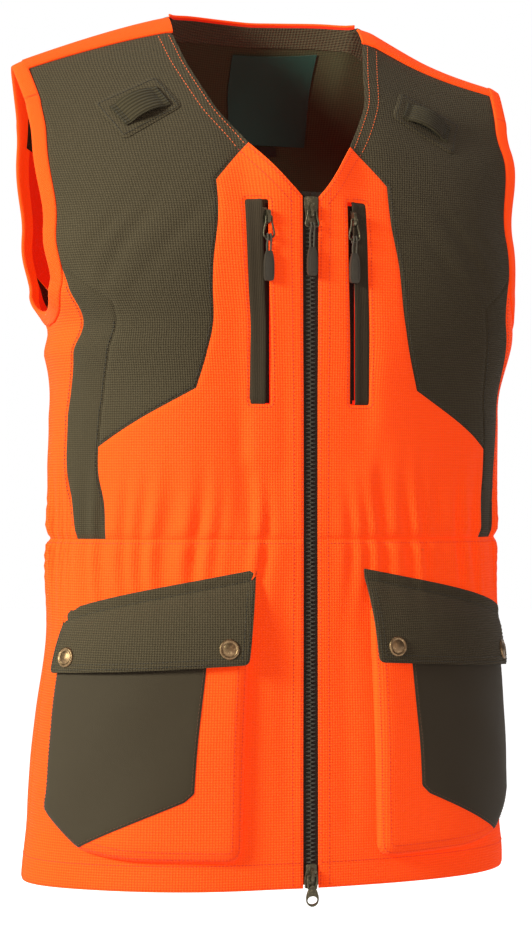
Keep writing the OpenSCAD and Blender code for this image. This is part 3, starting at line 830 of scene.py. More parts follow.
orange = fabric("orange_waffle", ORANGE, "waffle", pitch=2.2, painted_glow=0.72,
                deep=0.5, bump=0.0006, sheen=0.05)
orange_twill = fabric("orange_twill", ORANGE, "twill", pitch=1.9, painted_glow=0.72,
                      deep=0.45, bump=0.0004, sheen=0.05)
# Darker, redder copy of the orange cloth for the inside faces: painted shade,
# plus a painted glow.
orange_in = fabric("orange_inside_painted_shade", (0.85, 0.03, 0.004), "plain", pitch=1.2,
                   painted_glow=0.5)
olive = fabric("olive_waffle", OLIVE, "waffle", pitch=2.0, deep=0.8,
               bump=0.0006, sheen=0.06)
olive_in = fabric("olive_lining", linear(78, 72, 48), "waffle", deep=0.7,
                  sheen=0.06)
stretch = fabric("olive_stretch", scaled(OLIVE, 0.93), "waffle", pitch=1.7,
                 deep=0.8, bump=0.0005, sheen=0.06)
dark = fabric("dark_smooth", DARK, "plain", pitch=0.8, deep=0.15, rough=0.75,
              bump=0.00008)
welt_cloth = fabric("welt_rib", linear(76, 62, 46), "rib", pitch=1.5,
                    deep=0.6)
webbing = fabric("olive_webbing", linear(84, 72, 50), "webbing", pitch=2.6,
                 deep=0.8, bump=0.0008, sheen=0.06)
tape = fabric("zip_tape", BROWN, "twill", pitch=1.0, deep=0.4, rough=0.7)
satin = fabric("label_satin", linear(26, 68, 59), "rib", pitch=0.5,
               deep=0.25, rough=0.38, sheen=0.3, bump=0.00005)
orange_thread = thread("orange_thread", (1.0, 0.16, 0.03), 0.3)
red_thread = thread("red_thread", (0.6, 0.03, 0.008), 0.12)
dark_thread = thread("dark_thread", linear(48, 40, 28))
rust_thread = thread("rust_thread", linear(112, 66, 38))
# The teeth's brighter spots are painted glints, not wear.
teeth_mat = hard("zip_teeth", linear(62, 56, 44), 0.0, 0.35,
                 linear(120, 112, 92))
metal_mat = hard("slider_metal", linear(84, 76, 58), 0.6, 0.42,
                 linear(150, 140, 112))
brass = hard("antique_brass", linear(132, 104, 76), 0.9, 0.38,
             linear(190, 160, 120))
rubber = hard("grip_rubber", linear(62, 52, 40), 0.0, 0.6, grain=0.0001)


# ---------------------------------------------------------------- camera

def camera():
    cam = bpy.data.cameras.new("camera")
    obj = bpy.data.objects.new("camera", cam)
    bpy.context.scene.collection.objects.link(obj)
    az = math.radians(-16.5)
    place = Vector((math.sin(az) * 1.990, -math.cos(az) * 1.990, -0.414))
    aim = Vector((0, 0, -0.385))
    obj.location = place
    obj.rotation_euler = (aim - place).to_track_quat("-Z", "Y").to_euler()
    cam.sensor_width = 36
    cam.lens = 88.7
    cam.shift_x = -8 / 929
    cam.clip_end = 50
    bpy.context.scene.camera = obj


camera()


# ---------------------------------------------------------------- panels

SIDES = ((-1, "_r"), (1, "_l"))
SHOULDER_X = np.array([85, 105, 125, 150, 180, 208], float)


def shoulder_u(x, z=-20.0):
    return u_of(x, np.full(np.shape(x), z))


def declare(obj, area, held="hung", **kw):
    """Reads the UV, which holds the cloth's real lengths; nothing is worked out
    from it.
    """
    layer = obj.data.uv_layers[0].data
    uv = np.empty(len(layer) * 2)
    layer.foreach_get("uv", uv)


def cloth_area(obj):
    """Area of one face of a closed shell, in square metres."""
    return sum(p.area for p in obj.data.polygons) / 2


def finish_panel(obj, nodes, held="hung"):
    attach(obj, "vest")
    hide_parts(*nodes)
    declare(obj, cloth_area(obj), held)


side_inner_low = curve(SIDE_INNER[3:])
side_inner_all = curve(SIDE_INNER)
side_outer = curve(SIDE_OUTER)
armhole_yoke = curve(ARMHOLE[:7])
neck_line = curve(NECK_EDGE)
yoke_line = np.concatenate([straight(V_CORNER, YOKE_EDGE[1])[:-1],
                            curve(YOKE_EDGE[1:])])
yoke_foot = straight(YOKE_EDGE[-1], YOKE_LOW)


def pocket_opening():
    zs = np.linspace(-168, -337, 30)
    inner = [(float(u_of(34.4, z)), z) for z in zs]
    outer = [(float(u_of(52.6 - 1.2 * (z + 168) / -169, z)), z) for z in zs]
    ring = inner + outer[::-1]
    return rounded([ring[0], *inner[1:-1], ring[29], *outer[::-1][:-1],
                    outer[0]], [1.5] + [0.4] * 28 + [1.5, 1.5]
                   + [0.4] * 28 + [3.0])


opening = pocket_opening()
yoke_top = [(u, float(ridge(smooth_body(u, -20.0)[0], False)) - 3.5)
            for u in (172, 158, 144, 130, 116, 102, 88, 78)]

for side, end in SIDES:
    m = lambda line: mirrored(line, side)
    yoke = joined(neck_line, yoke_line, yoke_foot,
                  curve(SIDE_INNER[:4])[::-1],
                  straight(SIDE_INNER[0], ARMHOLE[6]), armhole_yoke[::-1],
                  straight(ARMHOLE[0], *yoke_top, NECK_EDGE[0]))
    o = panel("yoke" + end, m(yoke), olive, inner_mat=olive_in)
    finish_panel(o, ["front_yoke" + end])
    chest = joined(straight((7, WAIST_Z), (7, -165)),
                   curve([(7, -165), (20, -149), V_CORNER]), yoke_line,
                   yoke_foot, side_inner_low,
                   straight(SIDE_INNER[-1], (7, WAIST_Z)))
    o = panel("chest" + end, m(chest), orange, holes=[m(opening)],
              inner_mat=orange_in)
    finish_panel(o, ["chest_panel" + end])
    strip = joined(side_inner_all, straight(SIDE_INNER[-1], SIDE_OUTER[-1]),
                   side_outer[::-1], straight(SIDE_OUTER[0], SIDE_INNER[0]))
    o = panel("strip_front" + end, m(strip), stretch)
    finish_panel(o, ["front_side_strip" + end])
    o = panel("strip_back" + end, m(backwards(strip)), stretch)
    finish_panel(o, ["back_side_strip" + end])
    arm = curve(ARMHOLE[6:])
    under = joined(arm, backwards(arm)[::-1], backwards(side_outer),
                   straight((382, WAIST_Z), (218, WAIST_Z)),
                   side_outer[::-1])
    o = panel("underarm" + end, m(under), orange, inner_mat=orange_in)
    finish_panel(o, ["underarm_panel" + end])
    skirt = joined(straight((7, WAIST_Z), (300, WAIST_Z)),
                   straight((300, WAIST_Z), (300, HEM_Z)),
                   straight((300, HEM_Z), (7, HEM_Z)),
                   straight((7, HEM_Z), (7, WAIST_Z)))
    o = panel("skirt" + end, m(skirt), orange, inner_mat=orange_in)
    finish_panel(o, ["front_skirt" + end])

back_side = np.concatenate([backwards(curve(ARMHOLE[:7])),
                            backwards(curve(SIDE_INNER))])
NECK_BACK = [(530, 1), (545, 5), (560, 7), (580, 8), (600, 8), (620, 8),
             (640, 7), (655, 5), (670, 1)]
neck_back = curve(NECK_BACK)
shoulder_b = [(600 - float(shoulder_u(x)), float(ridge(x, False)) - 8)
              for x in (200, 180, 150, 115, 90)]
shoulder_b2 = [(1200 - u, z) for u, z in reversed(shoulder_b)]
back_side2 = np.array([(1200 - u, z) for u, z in back_side])
back = joined(back_side[::-1],
              straight(tuple(back_side[0]), *shoulder_b, NECK_BACK[0]),
              neck_back,
              straight(NECK_BACK[-1], *shoulder_b2, tuple(back_side2[0])),
              back_side2, straight((782, WAIST_Z), (418, WAIST_Z)))
o = panel("back", back, orange, inner_mat=orange_in)
finish_panel(o, ["back_panel"])
skirt = joined(straight((300, WAIST_Z), (900, WAIST_Z)),
               straight((900, WAIST_Z), (900, HEM_Z)),
               straight((900, HEM_Z), (300, HEM_Z)),
               straight((300, HEM_Z), (300, WAIST_Z)))
o = panel("skirt_back", skirt, orange, inner_mat=orange_in)
finish_panel(o, ["back_skirt"])

top = [(u, -1 - 66 * (abs(u - 600) / 176) ** 2) for u in range(424, 777, 8)]
low = [(u, -150 + 38 * (abs(u - 600) / 188) ** 2) for u in range(412, 789, 8)]
lining = joined(straight(*top[::-1]), straight(top[0], low[0]),
                straight(*low), straight(low[-1], top[-1]))
o = panel("lining", lining, olive_in, thick=1.0,
          lift=level(-CLOTH))
finish_panel(o, ["back_lining"], held="stretched")

line = [(u, z - 1.2) for u, z in curve([(518, -4)] + NECK_BACK + [(682, -4)],
                                       4)]
facing = joined(straight(*line[::-1]),
                straight(line[0], (line[0][0], line[0][1] - 16)),
                straight(*[(u, z - 16) for u, z in line]),
                straight((line[-1][0], line[-1][1] - 16), line[-1]))
o = panel("neck_band", facing, olive, thick=1.0,
          lift=level(-CLOTH - 1.2))
finish_panel(o, ["back_neck_facing"], held="stretched")

for side, end in SIDES:
    edge = curve([(u + 0.5, z) for u, z in NECK_EDGE])
    far = curve([(u + 13, z + 2) for u, z in NECK_EDGE])
    ring = joined(edge, straight(tuple(edge[-1]), tuple(far[-1])),
                  far[::-1], straight(tuple(far[0]), tuple(edge[0])))
    o = panel("neck_facing" + end + "_cloth", mirrored(ring, side), olive_in,
              thick=1.0, lift=level(-CLOTH))
    finish_panel(o, ["neck_facing" + end], held="stretched")

casing = joined(straight((60, WAIST_Z + 12), (1140, WAIST_Z + 12), step=6),
                straight((1140, WAIST_Z + 12), (1140, WAIST_Z - 12)),
                straight((1140, WAIST_Z - 12), (60, WAIST_Z - 12), step=6),
                straight((60, WAIST_Z - 12), (60, WAIST_Z + 12)))
o = panel("casing", casing, orange_in, thick=1.5,
          lift=lambda u, z: 0.3 * np.sin(u / 1.9) - CLOTH)
finish_panel(o, ["waist_casing"], held="gathered")


# Orange strip over each shoulder seam.
def on_shoulder(x, w):
    back = w > 0
    front = 14 - 6 * (np.abs(x) - 85) / 120
    z = ridge(x, back) - np.where(back, 30, front) * w * w
    return np.stack([x, depth(x, z, back), z], -1)


def shoulder_grid(xs, ws, lift=0.0):
    x, w = np.meshgrid(xs, ws)
    du = on_shoulder(x + 1, w) - on_shoulder(x - 1, w)
    dw = on_shoulder(x, w + 0.05) - on_shoulder(x, w - 0.05)
    n = np.cross(du, dw)
    n /= np.linalg.norm(n, axis=-1, keepdims=True)
    return on_shoulder(x, w) + n * lift, n


for side, end in SIDES:
    xs = np.linspace(85, 209, 45)
    ws = np.linspace(-1, 1, 40)
    pts, nor = shoulder_grid(xs, ws)
    edge = np.minimum(1 - np.abs(ws), 0.08) / 0.08
    lift = (1.2 + 0.9 * np.sqrt(edge))[:, None, None]
    outer = (pts + nor * lift) * [side, 1, 1]
    outer[..., 0] += at(YOKE_LEAN, outer[..., 2]) + np.where(
        side < 0, at(LEAN_R, outer[..., 2]), at(LEAN_L, outer[..., 2])) \
        * (outer[..., 0] / at(WIDTHS, outer[..., 2])) ** 2
    outer[..., 2] -= dip(outer[..., 0], outer[..., 2])
    nor = nor * [side, 1, 1]
    s = np.concatenate([[0], np.cumsum(np.linalg.norm(np.diff(
        outer[:, 20], axis=0), axis=1))])
    uv = np.stack(np.broadcast_arrays(xs[None, :], s[:, None]), -1) * MM
    o = sheet_grid("shoulder" + end, outer, nor, orange_twill, uv, 2.0)
    fix_normals(o)
    finish_panel(o, ["shoulder_strip" + end], held="stretched")


# Bound edge round each armhole.
for side, end in SIDES:
    front = curve(ARMHOLE[1:])[:-1]
    rear = backwards(curve(ARMHOLE[1:]))[::-1]
    around = np.concatenate([front, rear])
    seat = drape(side * around[:, 0], around[:, 1], 0.0, 0.3) * [side, 1, 1]
    out = body_normal(side * around[:, 0], around[:, 1]) * [side, 1, 1]
    over = [(208, 0.55, 5), (208.5, 0.0, 0), (208, -0.55, 5)]
    top_p, top_n = [], []
    for x, w, drop in over:
        back = w > 0
        z = float(ridge(x, back)) - drop
        lean = float(at(YOKE_LEAN, z) + at(LEAN_R if side < 0 else LEAN_L, z)
                     * 0.65)
        top_p.append((x + side * lean, 8 * np.sign(w),
                      z - float(dip(side * x, z))))
        top_n.append((0.5, w, 1.0))
    seat = np.concatenate([seat, top_p])
    flat_seat = seat.copy()
    out = np.concatenate([out, top_n])
    out /= np.linalg.norm(out, axis=1, keepdims=True)
    keep = np.concatenate([np.arange(0, len(around), 3),
                           [len(around), len(around) + 1, len(around) + 2]])
    seat = curve(seat[keep], 3.0, True)
    knots = flat_seat[keep]
    src = np.cumsum([0] + [max(1, int(math.ceil(np.linalg.norm(b - a) / 3.0)))
                           for a, b in zip(knots, np.roll(knots, -1, 0))])
    n = np.stack([np.interp(np.arange(len(seat)), src,
                            np.append(out[keep][:, k], out[keep][0, k]))
                  for k in range(3)], -1)
    seat = seat * [side, 1, 1]
    n = n * [side, 1, 1]
    if side < 0:
        seat, n = seat[::-1], n[::-1]
    w = 12.0
    prof = [(0.8, 0.2), (0.2, 0.9), (-1.2, 1.2), (-4, 1.3), (-8, 1.2),
            (-w + 1.5, 1.0), (-w + 0.3, 0.2), (-w, -1.0), (-w + 0.3, -2.0),
            (-w + 1.5, -2.7), (-5, -2.8), (-1, -2.6), (0.6, -2.2)]
    o = swept("binding" + end, seat, prof, orange_twill, True, n)
    finish_panel(o, ["armhole_binding" + end], held="stretched")


# ---------------------------------------------------------------- pockets

FLAP_FRONT, FLAP_BACK = (52, -482), (232, -518)
FLAP_LOW = [(58, -550), (90, -552), (150, -556), (236, -560)]
BAG = [(56.5, -504), (58, -600), (60, -712), (150, -710), (192, -702),
       (243, -672), (238, -655), (236, -528)]
OVERLAY = [(89, -520), (91, -556), (95, -612), (97, -654), (104, -661),
           (190, -700.5), (239, -671), (234.5, -655), (233, -528)]
FLAP_TOP = [(50.5, -472.5), (130, -487.5), (233, -508.5)]
bag_ring = rounded(BAG, [1, 40, 14, 20, 12, 14, 10, 1])
overlay_ring = rounded(OVERLAY, [1, 20, 20, 1, 1, 1, 2, 6, 1])
flap_ring = rounded(FLAP_TOP + FLAP_LOW[::-1], [1.5, 30, 2, 5, 20, 20, 5])
bag_wall = np.array([p for p in bag_ring
                     if distance([p], [BAG[0], BAG[-1]])[0] > 2.0])
SNAPS = [(74, -537), (214, -546)]


BAG_DEPTH = 9.0


def rear(u):
    """The bag gets flatter towards the side seam."""
    t = np.clip((np.abs(u) - 130) / 110, 0, 1)
    return 1 - 0.45 * t * t * (3 - 2 * t)


def bag_height(u, z):
    """Height of the half-full bag over the body."""
    p = np.stack([np.abs(u), z], -1)
    d = distance(p, bag_wall, False)
    e = np.clip(d / 13, 0, 1)
    v = np.clip((-z - 506 - 0.14 * (np.abs(u) - 56)) / 196, 0, 1)
    swell = (0.42 + 0.58 * np.sin(np.pi / 2 * np.minimum(1, v / 0.35))) \
        * (1 - 0.1 * v) * rear(u)
    wave = 0.7 * np.sin(np.abs(u) / 15 + z / 40) * np.sin(z / 33) * e
    return CLOTH + BAG_DEPTH * np.sqrt(e * (2 - e)) * swell \
        + wave * np.clip(v * 3, 0, 1)


def fold_z(u):
    return np.interp(np.abs(u), [FLAP_FRONT[0], FLAP_BACK[0]],
                     [FLAP_FRONT[1], FLAP_BACK[1]])


def low_z(u):
    return np.interp(np.abs(u), [p[0] for p in FLAP_LOW],
                     [p[1] for p in FLAP_LOW])


def flap_height(u, z):
    v = (fold_z(u) - z) / (fold_z(u) - low_z(u))
    return np.where(v < 0, 2.4, 2.7 + (0.9 * BAG_DEPTH + 5.6)
                    * (0.35 + 0.65 * rear(u)) * np.sin(
        np.pi / 2 * np.clip(v, 0, 1.05) ** 0.8))


for side, end in SIDES:
    o = panel("bag" + end, mirrored(bag_ring, side), orange,
              lift=bag_height, seam=0.0, fold=0.4, grid=4.0)
    finish_panel(o, ["cargo_pocket" + end], held="stretched")
    o = panel("overlay" + end, mirrored(overlay_ring, side), dark, thick=0.9,
              lift=lambda u, z: bag_height(u, z) + 1.2, seam=0.7, fold=0.4)
    finish_panel(o, ["pocket_overlay" + end],
                 held="stretched")
    o = panel("flap" + end + "_cloth", mirrored(flap_ring, side), olive,
              thick=2.4, lift=flap_height, fold=0.15, grid=4.0, seam=0.6,
              extra=[np.array([(u * side, fold_z(u) - 1.3 * k)
                               for u in np.arange(52, 236, 2.6)])
                     for k in range(-2, 9)])
    axis = Vector((-0.8808, -0.4222 * side, 0.2144 * side))
    nrm = Vector([float(v) for v in body_normal(side * 142.0, -500.8)])
    down = axis.cross(nrm)
    down = down if down.z < 0 else -down
    down.normalize()
    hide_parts("flap_band" + end, "pocket_flap" + end)
    declare(o, cloth_area(o), "stretched")
    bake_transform(o)
    caps = []
    for k, (u, z) in enumerate(SNAPS):
        h = float(flap_height(np.array(u), np.array(z)))
        c = drape(side * u, z, h, 0.15)
        prof = [(0.01, -1.0), (8.1, -1.0), (8.35, 0.2), (8.2, 0.8),
                (7.6, 1.25), (6.9, 1.35), (6.3, 1.15), (5.9, 0.75),
                (5.5, 0.7), (4.9, 0.95), (4.0, 1.25), (2.6, 1.6), (1.3, 1.8),
                (0.01, 1.85)]
        e = 2.0
        pu = (smooth_body(side * u + e, z) + body_normal(side * u + e, z)
              * flap_height(u + side * e, z)
              - smooth_body(side * u - e, z)
              - body_normal(side * u - e, z) * flap_height(u - side * e, z))
        pz = (smooth_body(side * u, z + e) + body_normal(side * u, z + e)
              * flap_height(u, z + e) - smooth_body(side * u, z - e)
              - body_normal(side * u, z - e) * flap_height(u, z - e))
        caps.append(lathe("cap%d" % k, prof, c, np.cross(pu, pz), brass))
    o = join("caps" + end, caps)
    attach(o, "flap" + end)
    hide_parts("snap_caps" + end)


# ---------------------------------------------------------------- loops

PATCH = [(139, -86), (91, -60), (80, -88), (125, -119)]
WEB = [(128, -90), (94, -71.5), (88, -88), (121, -107)]
for side, end in SIDES:
    ring = rounded(PATCH, 5)
    o = panel("patch" + end, mirrored(ring, side), olive, thick=1.3,
              lift=level(1.5), seam=0.9)
    finish_panel(o, ["strap_patch" + end], held="stretched")
    s = np.linspace(0, 1, 41)
    t = np.linspace(0, 1, 13)
    S, T = np.meshgrid(s, t)
    a, b, c, d = (np.array(p, float) for p in WEB)
    flat = ((1 - S)[..., None] * ((1 - T)[..., None] * a
                                  + T[..., None] * d)
            + S[..., None] * ((1 - T)[..., None] * b + T[..., None] * c))
    rise = 2.2 + 5.0 * np.clip(np.sin(np.pi * np.clip(
        (S - 0.12) / 0.76, 0, 1)), 0, 1) ** 0.7 + 1.6
    rise -= 0.5 * np.exp(-(np.minimum(T, 1 - T) / 0.05) ** 2)
    u, z = flat[..., 0] * side, flat[..., 1]
    outer = drape(u, z, rise)
    nor = body_normal(u, z)
    uv = np.stack([S * 46, T * 20], -1) * MM
    o = sheet_grid("keeper" + end, outer, nor, webbing, uv, 1.6)
    fix_normals(o)
    finish_panel(o, ["strap_loop" + end], held="stretched")


# ---------------------------------------------------------------- chest zips

CHEST_Y = 7.2 - FRONT
for side, end in SIDES:
    z = np.linspace(-166.5, -338.5, 60)
    k = np.linspace(0, 1, 9)
    x0 = np.full(z.shape, 39.2)
    x1 = 55.5 - 1.2 * (z + 168) / -169
    X = x0[:, None] * (1 - k) + x1[:, None] * k
    Z = np.broadcast_to(z[:, None], X.shape)
    U = u_of(X, Z)
    lift = -0.4 - 2.0 * np.clip((k - 0.72) / 0.28, 0, 1)[None] \
        + 0.8 * np.exp(-((k - 0.1) / 0.16) ** 2)[None]
    lift = lift - 2.2 * np.exp(-((np.abs(Z + 252) - 86) / 2.5) ** 2) + 0.3
    nor = body_normal(side * U, Z)
    outer = smooth_body(side * U, Z) + nor * (lift + 0.5
                                              * folds(side * U, Z))[..., None]
    uv = np.stack([X, Z], -1) * MM
    o = sheet_grid("welt" + end, outer, nor, welt_cloth, uv, 1.4)
    fix_normals(o)
    finish_panel(o, ["chest_welt" + end], held="stretched")


# ---------------------------------------------------------------- front zip

ZIP_Y = -FRONT + 2.6
for side, end in SIDES:
    z = np.linspace(-161, -732, 200)
    x = np.array([0.5, 2, 3.4, 4.4, 6, 8, 11, 17.0]) * side
    X, Z = np.meshgrid(x, z)
    Y = np.full(X.shape, ZIP_Y - 0.4) - 0.3 * np.exp(
        -((np.abs(X) - 4) / 1.0) ** 2)
    outer = np.stack([X, Y, Z], -1)
    nor = np.zeros_like(outer)
    nor[..., 1] = -1
    uv = np.stack([X, Z], -1) * MM
    o = sheet_grid("tape" + end, outer, nor, tape, uv, 0.8)
    fix_normals(o)
    finish_panel(o, ["zip_tape" + end], held="stretched")


def teeth(name, x0, y0, z0, z1, pitch, w, t, mat):
    """Closed moulded chain: heads that meet in turn, each on its root."""
    bm = bmesh.new()
    count = int((z1 - z0) / pitch)
    for k in range(count):
        s = 1 if k % 2 else -1
        z = z0 + (k + 0.5) * pitch
        for cx, hw, hh, hd in ((s * w * 0.13, w * 0.22, pitch * 0.6,
                                t * 0.5),
                               (s * w * 0.38, w * 0.13, pitch * 0.3,
                                t * 0.42)):
            ret = bmesh.ops.create_cube(bm, size=2)
            for v in ret["verts"]:
                c = v.co
                if c.y < 0:
                    c.x *= 0.7
                    c.z *= 0.65
                v.co = Vector((x0 + cx + c.x * hw, y0 + c.y * hd,
                               z + c.z * hh))
    return from_bmesh(name, bm, mat, sharp=30)


chain = teeth("chain", 0, ZIP_Y, HEM_Z + 3, -168, 1.75, 8.0, 3.0, teeth_mat)
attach(chain, "vest")
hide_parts("zip_teeth")


def slider(name, at_p, w, l, t, crown_x, pin_y, crown_face, down=True):
    """Slider: two waisted plates and the crown that its pull hangs from."""
    x, y, z = at_p
    h = l / 2
    s = 1 if down else -1
    out = [(-w * 0.5, h * 0.95), (-w * 0.22, h), (w * 0.22, h),
           (w * 0.5, h * 0.95), (w * 0.5, h * 0.35), (w * 0.40, -h * 0.3),
           (w * 0.36, -h), (-w * 0.36, -h), (-w * 0.40, -h * 0.3),
           (-w * 0.5, h * 0.35)]
    out = [(a, b * s) for a, b in out]
    ring = rounded(out, 1.6, 0.6)
    f = plate("front", ring, -t - 1.4, -t, metal_mat, 0.45, at_p)
    b = plate("rear", ring, t, t + 1.4, metal_mat, 0.45, at_p)
    post = plate("post", [(-0.4, -h * 0.8), (0.4, -h * 0.8),
                          (0.4, h * 0.8), (-0.4, h * 0.8)], -t - 0.2,
                 t + 0.2, metal_mat, 0, at_p)
    # Crown with a hole for the pin, in the YZ plane.
    a = np.linspace(0, 2 * math.pi, 20, endpoint=False)
    ring = rounded([(-6, crown_face), (-5.6, pin_y - 0.8),
                    (-3.2, pin_y - 2.3), (3.2, pin_y - 2.3),
                    (5.6, pin_y - 0.8), (6, crown_face)],
                   [0.5, 2, 2, 2, 2, 0.5], 0.5)
    hole = [(1.3 * math.cos(v), pin_y + 1.3 * math.sin(v)) for v in a]
    c = plate("crown", ring, -1.25, 1.25, metal_mat, 0.4, holes=[hole])
    for v in c.data.vertices:
        cx, cy, cz = (q / MM for q in v.co)
        v.co = Vector(((x + crown_x + cy) * MM, (y + cz) * MM, (z + cx) * MM))
    return join(name, [f, b, post, c])


def wire(name, pin, w, low_w, l, thick=1.6):
    """Bell-shaped wire pull: the pin, two arms and the bar."""
    x, y, z = pin
    path = [(-w / 2, 0, 0), (-w / 2 - 0.2, 0, -l * 0.3),
            (-low_w / 2 + 0.2, 0, -l * 0.65), (-low_w / 2 - 0.2, 0, -l * 0.86),
            (-low_w / 2 + 0.9, 0, -l), (0, 0, -l - 0.3),
            (low_w / 2 - 0.9, 0, -l), (low_w / 2 + 0.2, 0, -l * 0.86),
            (low_w / 2 - 0.2, 0, -l * 0.65), (w / 2 + 0.2, 0, -l * 0.3),
            (w / 2, 0, 0)]
    path = curve(path, 0.9) + [x, y, z]
    ring = tube("wire", path, thick / 2, metal_mat, 12)
    bar = tube("pin", np.array([(-w / 2, 0, 0), (0, 0, 0), (w / 2, 0, 0)])
               + [x, y, z], 0.98, metal_mat, 14)
    return join(name, [ring, bar])


def grip(name, bar, strand, w, l, bend=0.0):
    """Doubled cord with a moulded end."""
    x, y, z = bar
    cords = []
    for s in (-1, 1):
        path = curve([(s * 1.4, 1.9, -2.6), (s * 1.3, 2.6, 0.2),
                      (s * 1.2, 0, 2.4), (s * 1.3, -2.5, 0.3),
                      (s * 1.5, -1.2, -3.5), (s * 1.7, -0.2, -strand * 0.5),
                      (s * 1.3, 0, -strand - 3)], 0.9) + [x, y, z]
        cords.append(tube("cord", path, 0.85, cord_mat, 10))
    h = l
    out = [(-w * 0.37, -strand), (w * 0.37, -strand),
           (w * 0.5, -strand - h * 0.35), (w * 0.5, -strand - h * 0.8),
           (w * 0.43, -strand - h), (-w * 0.43, -strand - h),
           (-w * 0.5, -strand - h * 0.8), (-w * 0.5, -strand - h * 0.35)]
    ring = rounded(out, 1.8, 0.6)
    body = plate("body", ring, -2.1, 2.1, rubber, 1.1, bar)
    mid = rounded([(a * 0.62, -strand - h / 2 + (b + strand + h / 2) * 0.74)
                   for a, b in out], 1.2, 0.6)
    face = plate("face", mid, -2.45, -2.0, rubber, 0.3, bar)
    neck = plate("neck", rounded([(-2.6, -strand + 1.6), (2.6, -strand + 1.6),
                                  (3, -strand - 1), (-3, -strand - 1)],
                                 1.0, 0.5), -1.5, 1.5, rubber, 0.7, bar)
    return join(name, cords + [body, face, neck])


cord_mat = thread("pull_cord", linear(70, 60, 44))


def hardware(obj, body, node):
    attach(obj, body)
    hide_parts(node)


PIN = ZIP_Y - 5.5
o = slider("slider_top", (0, ZIP_Y, -177), 12, 24, 1.7, 0, -5.5, -2.9)
hardware(o, "top_slider_body", "top_slider")
o = wire("pull_top", (0, PIN, -177), 7.4, 10.6, 13)
hardware(o, "top_pull_body", "top_pull")
o = grip("grip_top", (0, PIN, -190), 19, 8.4, 22)
hardware(o, "top_grip_body", "top_grip")
o = slider("slider_low", (0, ZIP_Y, -724), 12, 18, 1.7, 0, -5.5, -2.9, False)
hardware(o, "bottom_slider_body", "bottom_slider")

a = np.linspace(0, 2 * math.pi, 40, endpoint=False)
drop = [(math.sin(t) * (5.2 - 1.6 * math.cos(t)), -6.8 + 8.8 * math.cos(t))
        for t in a]
hole = [(4.3 * math.sin(t), -10.2 + 3.2 * math.cos(t)) for t in a]
ring = plate("ring", drop, -0.9, 0.9, metal_mat, 0.5, (0, PIN, -734),
             holes=[hole])
arms = []
for s in (-1, 1):
    arms.append(tube("arm", curve([(s * 3.7, 0, 0), (s * 3.9, 0, -5),
                                   (s * 3.2, 0, -11)], 1.0)
                     + [0, PIN, -724], 0.95, metal_mat))
arms.append(tube("pin", np.array([(-3.7, 0, 0), (0, 0, 0), (3.7, 0, 0)])
                 + [0, PIN, -724], 0.98, metal_mat, 14))
o = join("pull_low", [ring] + arms)
hardware(o, "bottom_pull_body", "bottom_pull")

for side, end in SIDES:
    c = (side * 40.0, CHEST_Y, -183.0)
    px = side * 37.0
    py = CHEST_Y - 9.6
    o = slider("slider_chest" + end, c, 9, 16, 1.6, -3 * side, -9.6, -3.0)
    hardware(o, "chest_slider%s_body" % end, "chest_slider" + end)
    o = wire("pull_chest" + end, (px, py, -183.0), 5, 8.6, 17)
    hardware(o, "chest_pull%s_body" % end, "chest_pull" + end)
    o = grip("grip_chest" + end, (px, py, -200.0), 13, 8.4, 23)
    hardware(o, "chest_grip%s_body" % end, "chest_grip" + end)


# ---------------------------------------------------------------- labels

def label(name, u0, u1, z0, z1, mat, node):
    ring = straight((u0, z1), (u1, z1), (u1, z0), (u0, z0), (u0, z1))[:-1]
    o = panel(name, ring, mat, thick=0.8, seam=0.0, grid=4,
              lift=level(-CLOTH - 1.8))
    o.data.flip_normals()
    finish_panel(o, [node], held="stretched")


label("label", 546, 610, -16, -93, satin, "neck_label")
label("tag", 570, 587, -94, -103, tape, "size_tag")


# ---------------------------------------------------------------- stitches

def rows_both(lines, lift=0.15, fold=1.0):
    return [on_cloth(mirrored(l, s), lift, fold) for l in lines
            for s in (-1, 1)]


neck_rows = [offset(neck_line, 3.0), offset(neck_line, 10.0)]
v_rows = [offset(curve([(7, -165), (20, -149), V_CORNER]), -2.5),
          offset(curve([(7, -165), (20, -149), V_CORNER]), -10)]
stitches("stitch_neck", rows_both(neck_rows), orange_thread, pitch=3.4,
         width=0.7, rise=0.35)
front_rows = [straight((8.7, -166), (8.7, -733)),
              straight((16.5, -158), (16.5, -733))]
waist_row = straight((18, WAIST_Z - 3.5), (1182, WAIST_Z - 3.5))
hem_row = straight((9, HEM_Z + 21), (1191, HEM_Z + 21))
stitches("stitch_front", rows_both(front_rows + v_rows)
         + [on_cloth(waist_row), on_cloth(hem_row)], red_thread)


def bag_lifted(u, z):
    return bag_height(u, z) + 0.12


def flap_lifted(u, z):
    return flap_height(u, z) + 0.12


def kept(line, near, gap):
    """The stretch of a line that is not near another line."""
    return line[distance(line, near) > gap]


dark_rows, loop_rows = [], []
seams = [offset(yoke_line[8:], 2.6), offset(yoke_foot, 2.6),
         offset(side_inner_all[6:-4], 2.4), offset(side_outer[6:-4], 2.4)]
dark_rows += rows_both(seams)
dark_rows += [on_cloth(mirrored(backwards(l), s))
              for l in (side_inner_all[6:-4], side_outer[6:-4])
              for s in (-1, 1)]
box = [(135.5, -87), (92, -63.5), (83, -88.5), (124.5, -115)]
loop_rows += rows_both([straight(*box, box[0])], 1.75)
ends = [straight((127, -90.5), (120.5, -106)), straight((94.5, -73), (89, -87)),
        straight((124.5, -89.2), (118, -104.5))]
loop_rows += rows_both(ends, 4.1)
stitches("stitch_seams", dark_rows, dark_thread, width=0.6, rise=0.25)
stitches("stitch_loops", loop_rows, dark_thread, pitch=2.8, width=0.6)
edge_rows = [offset(opening, -2.6, True)]
stitches("stitch_chest", rows_both(edge_rows), red_thread)
bag_top = np.array([BAG[0], BAG[-1]])
